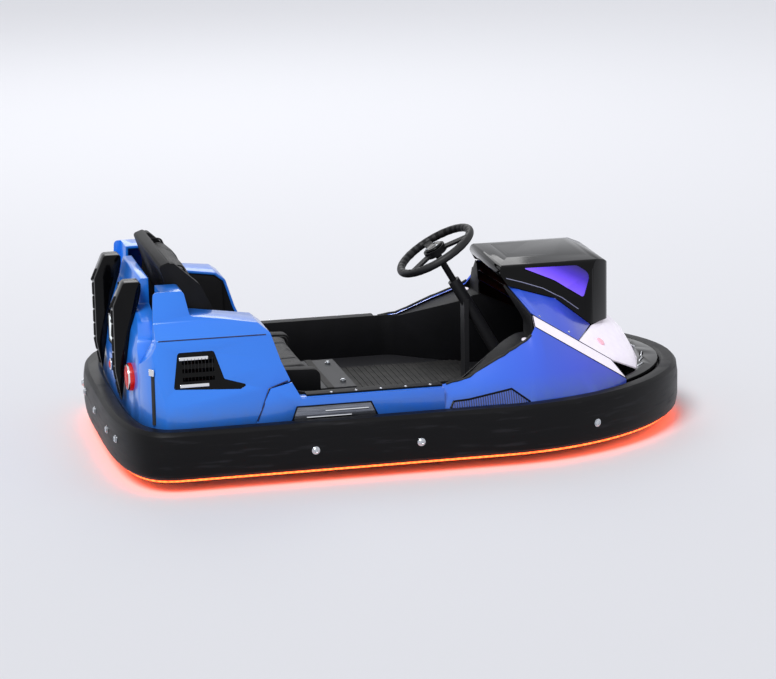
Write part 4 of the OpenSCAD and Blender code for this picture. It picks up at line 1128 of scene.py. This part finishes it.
# %% [markdown]
# The nose has small things on it: a grey pinstripe along the cowl under its window, a round pink lamp
# in each side of the lit fascia, bright slats in the tray's slots, and the screws that hold the
# hood. The pinstripe is laid on the cowl by rays, so it bends with the panel.

# %% Nose trim
STRIPE = [(0.350, 0.528), (0.400, 0.514), (0.467, 0.492), (0.530, 0.458), (0.590, 0.412)]  # x, z
SLATS = [(0.060, 20), (0.130, 30), (0.200, 40)]  # distance from the middle, turn from crosswise in degrees
SLAT_X, SLAT_SWEEP = 0.876, 0.35  # place on the middle line, and step back for each metre outwards
HOOD_SCREWS = [(0.42, 0.455), (0.52, 0.40), (0.59, 0.36)]  # x, z

path = [point for a, b in zip(STRIPE, STRIPE[1:]) for point in steps(a, b, 12)[:-1]] + STRIPE[-1:]
stripes = [tube(along_panel(panel["cowl"], path, side, 0.0002), 1.5) for side in SIDES]
joined(stripes, "cowl_pinstripe", paint_grey, "grey_metal")

lamp = cylinder(15, 3, 40)
stepped(lamp, (2.0, 1.2), (3.0, 1.0), (4.0, 0.6))
rounded_edges(lamp, 0.4, 1)
found = [touch(panel["nose_fascia"], (0.66, side * 1.0, 0.42), (-0.02, -side, -0.15)) for side in SIDES]
onto(lamp, "nose_side_lamps", [(place + normal * 0.0004, normal) for place, normal in found],
     acrylic_pink_lamp, "lamp_red")

slat = block(46, 6, 5)
choose(slat, lambda c, n: n.z > 0.9)
resize(0.9, 0.4, 1)
rounded_edges(slat, 0.8)
slat_z = corners("front_tray")[1].z - 0.0015
spots = [Matrix.Translation((SLAT_X - y * SLAT_SWEEP, side * y, slat_z))
         @ Matrix.Rotation(side * math.radians(90 + turn), 4, "Z") for side in SIDES for y, turn in SLATS]
onto(slat, "tray_slats", spots, aluminium_wheel, "rim_metal")

found = [probe(panel["hood_panels"], (x, side * 1.0, z + 0.35), (0, -side * 0.86, -0.5))
         for side in SIDES for x, z in HOOD_SCREWS]
spots = [(*hit, 0.7) for hit in found if hit]
onto(button_screw(4.5), "hood_screws", spots, steel_zinc, "steel")
print("nose trimmed,", len(spots), "hood screws")

# %% [markdown]
# Where hands and legs rub the body's edge there is a black rubber trim, and chrome screws hold the
# sill's rim. The trim follows the fender's upper edge: at each step along the car, rays from above
# look for the highest point across it. A black bead with a chrome clip runs down each rear corner,
# over the joint of the tail cover. A navy line marks the joint of each pod and side panel, and a navy
# line under each pod's shoulder crease is painted shade. The kick plates have
# two polished ribs against the driver's heels, and a white oval cap marks the end of the light bar
# inside the cockpit.

# %% Cockpit and body trim
POD_CREASE = [(-0.840, 0.467), (-0.480, 0.466)]  # x, z
POD_JOINT = [(-0.542, 0.202), (-0.501, 0.300), (-0.440, 0.320)]
BEAD_LOWEST, BEAD_PITCH, BEAD_POINTS = 0.205, 0.021, 9
KICK_RIBS = [(0.037, 0.11, 0.035), (0.019, 0.05, 0.09)]  # height, and distances from the plate's rear and front
SILL_SCREWS_X, SILL_SCREWS_Y = (-0.30, -0.22, -0.14, -0.06, 0.02), 0.4995
PODS = {1: panel["rear_pod_left"], -1: panel["rear_pod_right"]}


def highest(piece, x, y_from, y_to, count=40):
    found = [probe(piece, (x, y_from + (y_to - y_from) * i / count, 1.0), (0, 0, -1)) for i in range(count + 1)]
    return max((hit[0] for hit in found if hit), key=lambda place: place.z, default=None)


def flank(pieces, path, side):
    """Points of (x, z) on whichever of the panels lies outermost."""
    points = []
    for x, z in path:
        found = [probe(piece, (x, side * 2, z), (0, -side, 0)) for piece in pieces]
        if any(found):
            points.append(max((hit[0] for hit in found if hit), key=lambda place: place.y * side))
    return points


trims = []
for side, name in ((1, "front_fender_left"), (-1, "front_fender_right")):
    tops = [highest(panel[name], 0.075 + 0.02 * i, side * 0.365, side * 0.53) for i in range(16)]
    trims.append(tube([place + Vector((0, 0, 0.001)) for place in tops if place], 4.0, 3))
joined(trims, "fender_edge_trim", rubber_tyre, "black_plastic")

beads, spots = [], []
for side in SIDES:
    aim = Vector((0.72, -side * 0.70, 0)).normalized()
    heights = [BEAD_LOWEST + BEAD_PITCH * i for i in range(BEAD_POINTS)]
    corner = [touch(PODS[side], Vector((-0.74, side * 0.37, z)) - aim * 0.6, aim) for z in heights]
    beads.append(tube([place for place, _ in corner], 7.0, 3))
    place, normal = corner[-1]
    spots.append((place + normal * 0.004, normal))
joined(beads, "tail_corner_beads", rubber_tyre, "black_plastic")
clip = block(20, 22, 5)
stepped(clip, (3.0, 1.5))
rounded_edges(clip, 1.0)
onto(clip, "tail_corner_clips", spots, chrome_plate, "rim_metal")

# Along POD_CREASE the navy line is painted shade under the pod's shoulder; along POD_JOINT it marks the real joint of
# pod and side panel.
joint_and_shade_lines = []
for side in SIDES:
    joint_and_shade_lines.append(tube(flank([PODS[side]], steps(*POD_CREASE, 18), side), 2.0))
    joint = steps(*POD_JOINT[:2], 6) + steps(*POD_JOINT[1:], 4)[1:]
    joint_and_shade_lines.append(tube(flank([PODS[side], panel["side_panels"]], joint, side), 2.4))
joined(joint_and_shade_lines, "pod_joints_and_painted_crease_shade", navy_joint_and_painted_shade, "black_gloss")

kick_low, kick_high = corners("kick_plates")
ribs = []
for side in SIDES:
    for height, behind, ahead in KICK_RIBS:
        z = kick_low.z + height
        path = steps((kick_low.x + behind, z), (kick_high.x - ahead, z), 6)
        ribs.append(tube(along_panel(panel["kick_plates"], path, side, 0.001), 3.4, 3))
joined(ribs, "kick_plate_ribs", chrome_plate, "rim_metal")

liner = panel["cockpit_liner"]
spots = [(from_above(liner, x, side * SILL_SCREWS_Y)[0], (0, 0, 1), x * 9) for side in SIDES for x in SILL_SCREWS_X]
onto(button_screw(5.0), "sill_screws", spots, chrome_plate, "rim_metal")

cap = cylinder(10, 3, 40)
stepped(cap, (1.5, 1.5), (3.0, 1.0))
rounded_edges(cap, 0.5)
choose(cap)
resize(1.5, 0.9, 1)
mode("OBJECT")
cap_spots = [(*from_above(liner, 0.363, side * 0.378), 0.2 * side) for side in SIDES]
onto(cap, "light_bar_caps", cap_spots, acrylic_opal_lit, "lit_white")
print("cockpit trimmed,", len(spots), "sill screws")

# %% [markdown]
# Three kinds of black closing plate keep the light of the strip out of the cockpit: one fills the
# open inner side of each pod in front of the tub, one closes the floor behind the pan, and one
# closes it beside the seat. Each starts as a thin block. Bisects cut the pod's plate to the outline
# of the pod, and the floor's plates get an edge folded down.

# %% Closing plates
CUTS = [
    # the pod's outline from one (x, z) to the next, from its top down to its heel
    ((-0.524, 0.488), (-0.700, 0.512)),
    ((-0.492, 0.466), (-0.524, 0.488)),
    ((-0.438, 0.324), (-0.492, 0.466)),
    ((-0.497, 0.306), (-0.438, 0.324)),
]
plate = slab((-0.565, 0.3045, 0.38), (0.27, 0.002, 0.30))
mode("EDIT")
for (x, z), (to_x, to_z) in CUTS:
    bpy.ops.mesh.select_all(action="SELECT")
    bpy.ops.mesh.bisect(plane_co=(x, 0.3, z), plane_no=(to_z - z, 0, x - to_x), use_fill=True, clear_outer=True)
mode("OBJECT")
rounded_edges(plate, 0.4, 1)
plates = onto(plate, "pod_closing_plates", [Matrix.Identity(4), Matrix.Scale(-1, 4, (0, 1, 0))],
              abs_grained_black, "black_plastic")
choose(plates, lambda c, n: c.y < 0)
bpy.ops.mesh.flip_normals()
mode("OBJECT")

apron = block(42, 275, 2)
choose(apron, lambda c, n: n.x < -0.9)
extrude(-2, 0, 0)
choose(apron, lambda c, n: n.z < -0.9 and c.x < -0.0205)
extrude(0, 0, -14)
rounded_edges(apron, 0.4, 1)
apron_z = from_above(nodes["floor_pan"], -0.39, 0.4)[0].z - 0.004
onto(apron, "floor_closing_plates", [Matrix.Translation((-0.4195, side * 0.332, apron_z)) for side in SIDES],
     steel_powder_coat, "black_plastic")

plate = block(205, 150, 2)
choose(plate, lambda c, n: abs(n.x) > 0.9)
extrude(0, 0, 0)
resize(1.02, 1, 1)
choose(plate, lambda c, n: n.z < -0.9 and abs(c.x) > 0.1027)
extrude(0, 0, -10)
rounded_edges(plate, 0.4, 1)
onto(plate, "seat_side_plates", [Matrix.Translation((-0.545, side * 0.277, 0.142)) for side in SIDES],
     steel_powder_coat, "black_plastic")
print("closing plates ready")

# %% [markdown]
# Under the tail sit the battery and the motor. The battery has two terminals, the motor has cooling
# fins, one ring modelled and set seven times, and a stepped end cap. Two rubber straps, whose ends
# hang down the sides, hold the battery.

# %% Battery and motor
STRAP_WIDTH, STRAP_THICKNESS, STRAP_DROP = 22, 2.4, 26
FINS, FIN_PITCH = 7, 0.018
MOTOR_RADIUS = 50
low, high = corners("battery")
terminal = cylinder(9, 8)
stepped(terminal, (2.5, 0))
extrude(0, 0, 4)
rounded_edges(terminal, 0.8)
onto(terminal, "battery_terminals", [(Vector((high.x - 0.03, y, high.z - 0.0005)), (0, 0, 1)) for y in (-0.12, 0.12)],
     steel_zinc, "steel")

gear_low, gear_high = corners("transaxle")
motor_z = gear_high.z - MOTOR_RADIUS * MM
fin = cylinder(MOTOR_RADIUS + 2.2, 5, 48)
choose(fin, lambda c, n: abs(n.z) > 0.9)
resize(0.985, 0.985, 0.5)
rounded_edges(fin, 0.6)
spots = [(Vector((gear_low.x + 0.022 + FIN_PITCH * i, 0, motor_z)), REARWARD) for i in range(FINS)]
onto(fin, "motor_fins", spots, aluminium_cast, "grey_metal")
end_cap = cylinder(34, 4, 48)
stepped(end_cap, (4, 2), (9, -1.5))
rounded_edges(end_cap, 0.8)
onto(end_cap, "motor_end_cap", [(Vector((gear_low.x + 0.0005, 0, motor_z)), REARWARD)],
     steel_powder_coat, "black_plastic")

strap = block(STRAP_WIDTH, (high.y - low.y) / MM + 6, STRAP_THICKNESS)
choose(strap, lambda c, n: n.z < -0.9)
bpy.ops.mesh.delete(type="ONLY_FACE")
choose(strap, lambda c, n: abs(n.y) > 0.9)
extrude(0, 0, -STRAP_DROP)
bpy.ops.mesh.select_all(action="SELECT")
bpy.ops.mesh.remove_doubles(threshold=0.1 * MM)
mode("OBJECT")
rounded_edges(strap, 0.5, 1)
spots = [Matrix.Translation((x, (low.y + high.y) / 2, high.z - 0.0002)) for x in (low.x + 0.06, high.x - 0.085)]
onto(strap, "battery_straps", spots, rubber_tyre, "rubber")
print("battery and motor dressed")

# %% [markdown]
# The studio is a pale floor under a pale sky. A sun with a wide disk gives the one soft shadow and
# lights the floor evenly to the top of the picture, which a lamp at a distance wouldn't. A large
# lamp behind the kart draws a thin line of light along the edges of the black parts. The sky is
# brighter to the camera, to reflections and through glass than to the surfaces it lights.

# %% Floor, sky and lamps
SKY_ON_SURFACES, SKY_SEEN = 0.42, 0.9
floor_paint = finish("floor_pale_matt", "e6e7ec", 0.9, Specular_IOR_Level=0.2)
bpy.ops.mesh.primitive_plane_add(size=120, location=(0, 0, 0))
floor = bpy.context.object
floor.name = "studio_floor"
floor.data.materials.append(floor_paint)

world = bpy.data.worlds.new("studio_sky")
bpy.context.scene.world = world
world.use_nodes = True
sky = world.node_tree.nodes["Background"]
sky.inputs["Color"].default_value = linear("f2f3f7")
rays = add(world, "LightPath").outputs
seen = add(world, "Math", {0: rays["Is Camera Ray"], 1: rays["Is Transmission Ray"]}, operation="MAXIMUM")
seen = add(world, "Math", {0: seen.outputs["Value"], 1: rays["Is Glossy Ray"]}, operation="MAXIMUM")
strength = add(world, "MapRange", {"Value": seen.outputs["Value"], "To Min": SKY_ON_SURFACES, "To Max": SKY_SEEN})
world.node_tree.links.new(strength.outputs["Result"], sky.inputs["Strength"])


def lamp_at(kind, name, place, energy, aim_from, **settings):
    bpy.ops.object.light_add(type=kind, location=place)
    lamp = bpy.context.object
    lamp.name = name
    lamp.data.energy = energy
    for key, value in settings.items():
        setattr(lamp.data, key, value)
    lamp.rotation_euler = (LOOK_AT - Vector(aim_from)).to_track_quat("-Z", "Y").to_euler()


lamp_at("SUN", "key_sun", (-3, -4, 6), 2.1, (-2.6, -3.4, 5.6), angle=math.radians(24))
lamp_at("AREA", "edge_lamp", (0.3, 7.0, 5.2), 120, (0.3, 7.0, 5.2), shape="DISK", size=5.0)
print("studio ready")

# %% [markdown]
# The dressed kart has to keep the size of the real one. Trims and swollen pads may stand a few
# millimetres past the CAD frame, and no more. The last step sets the Standard view, without a film
# curve.

# %% Colour view
bpy.context.scene.view_settings.view_transform = "Standard"
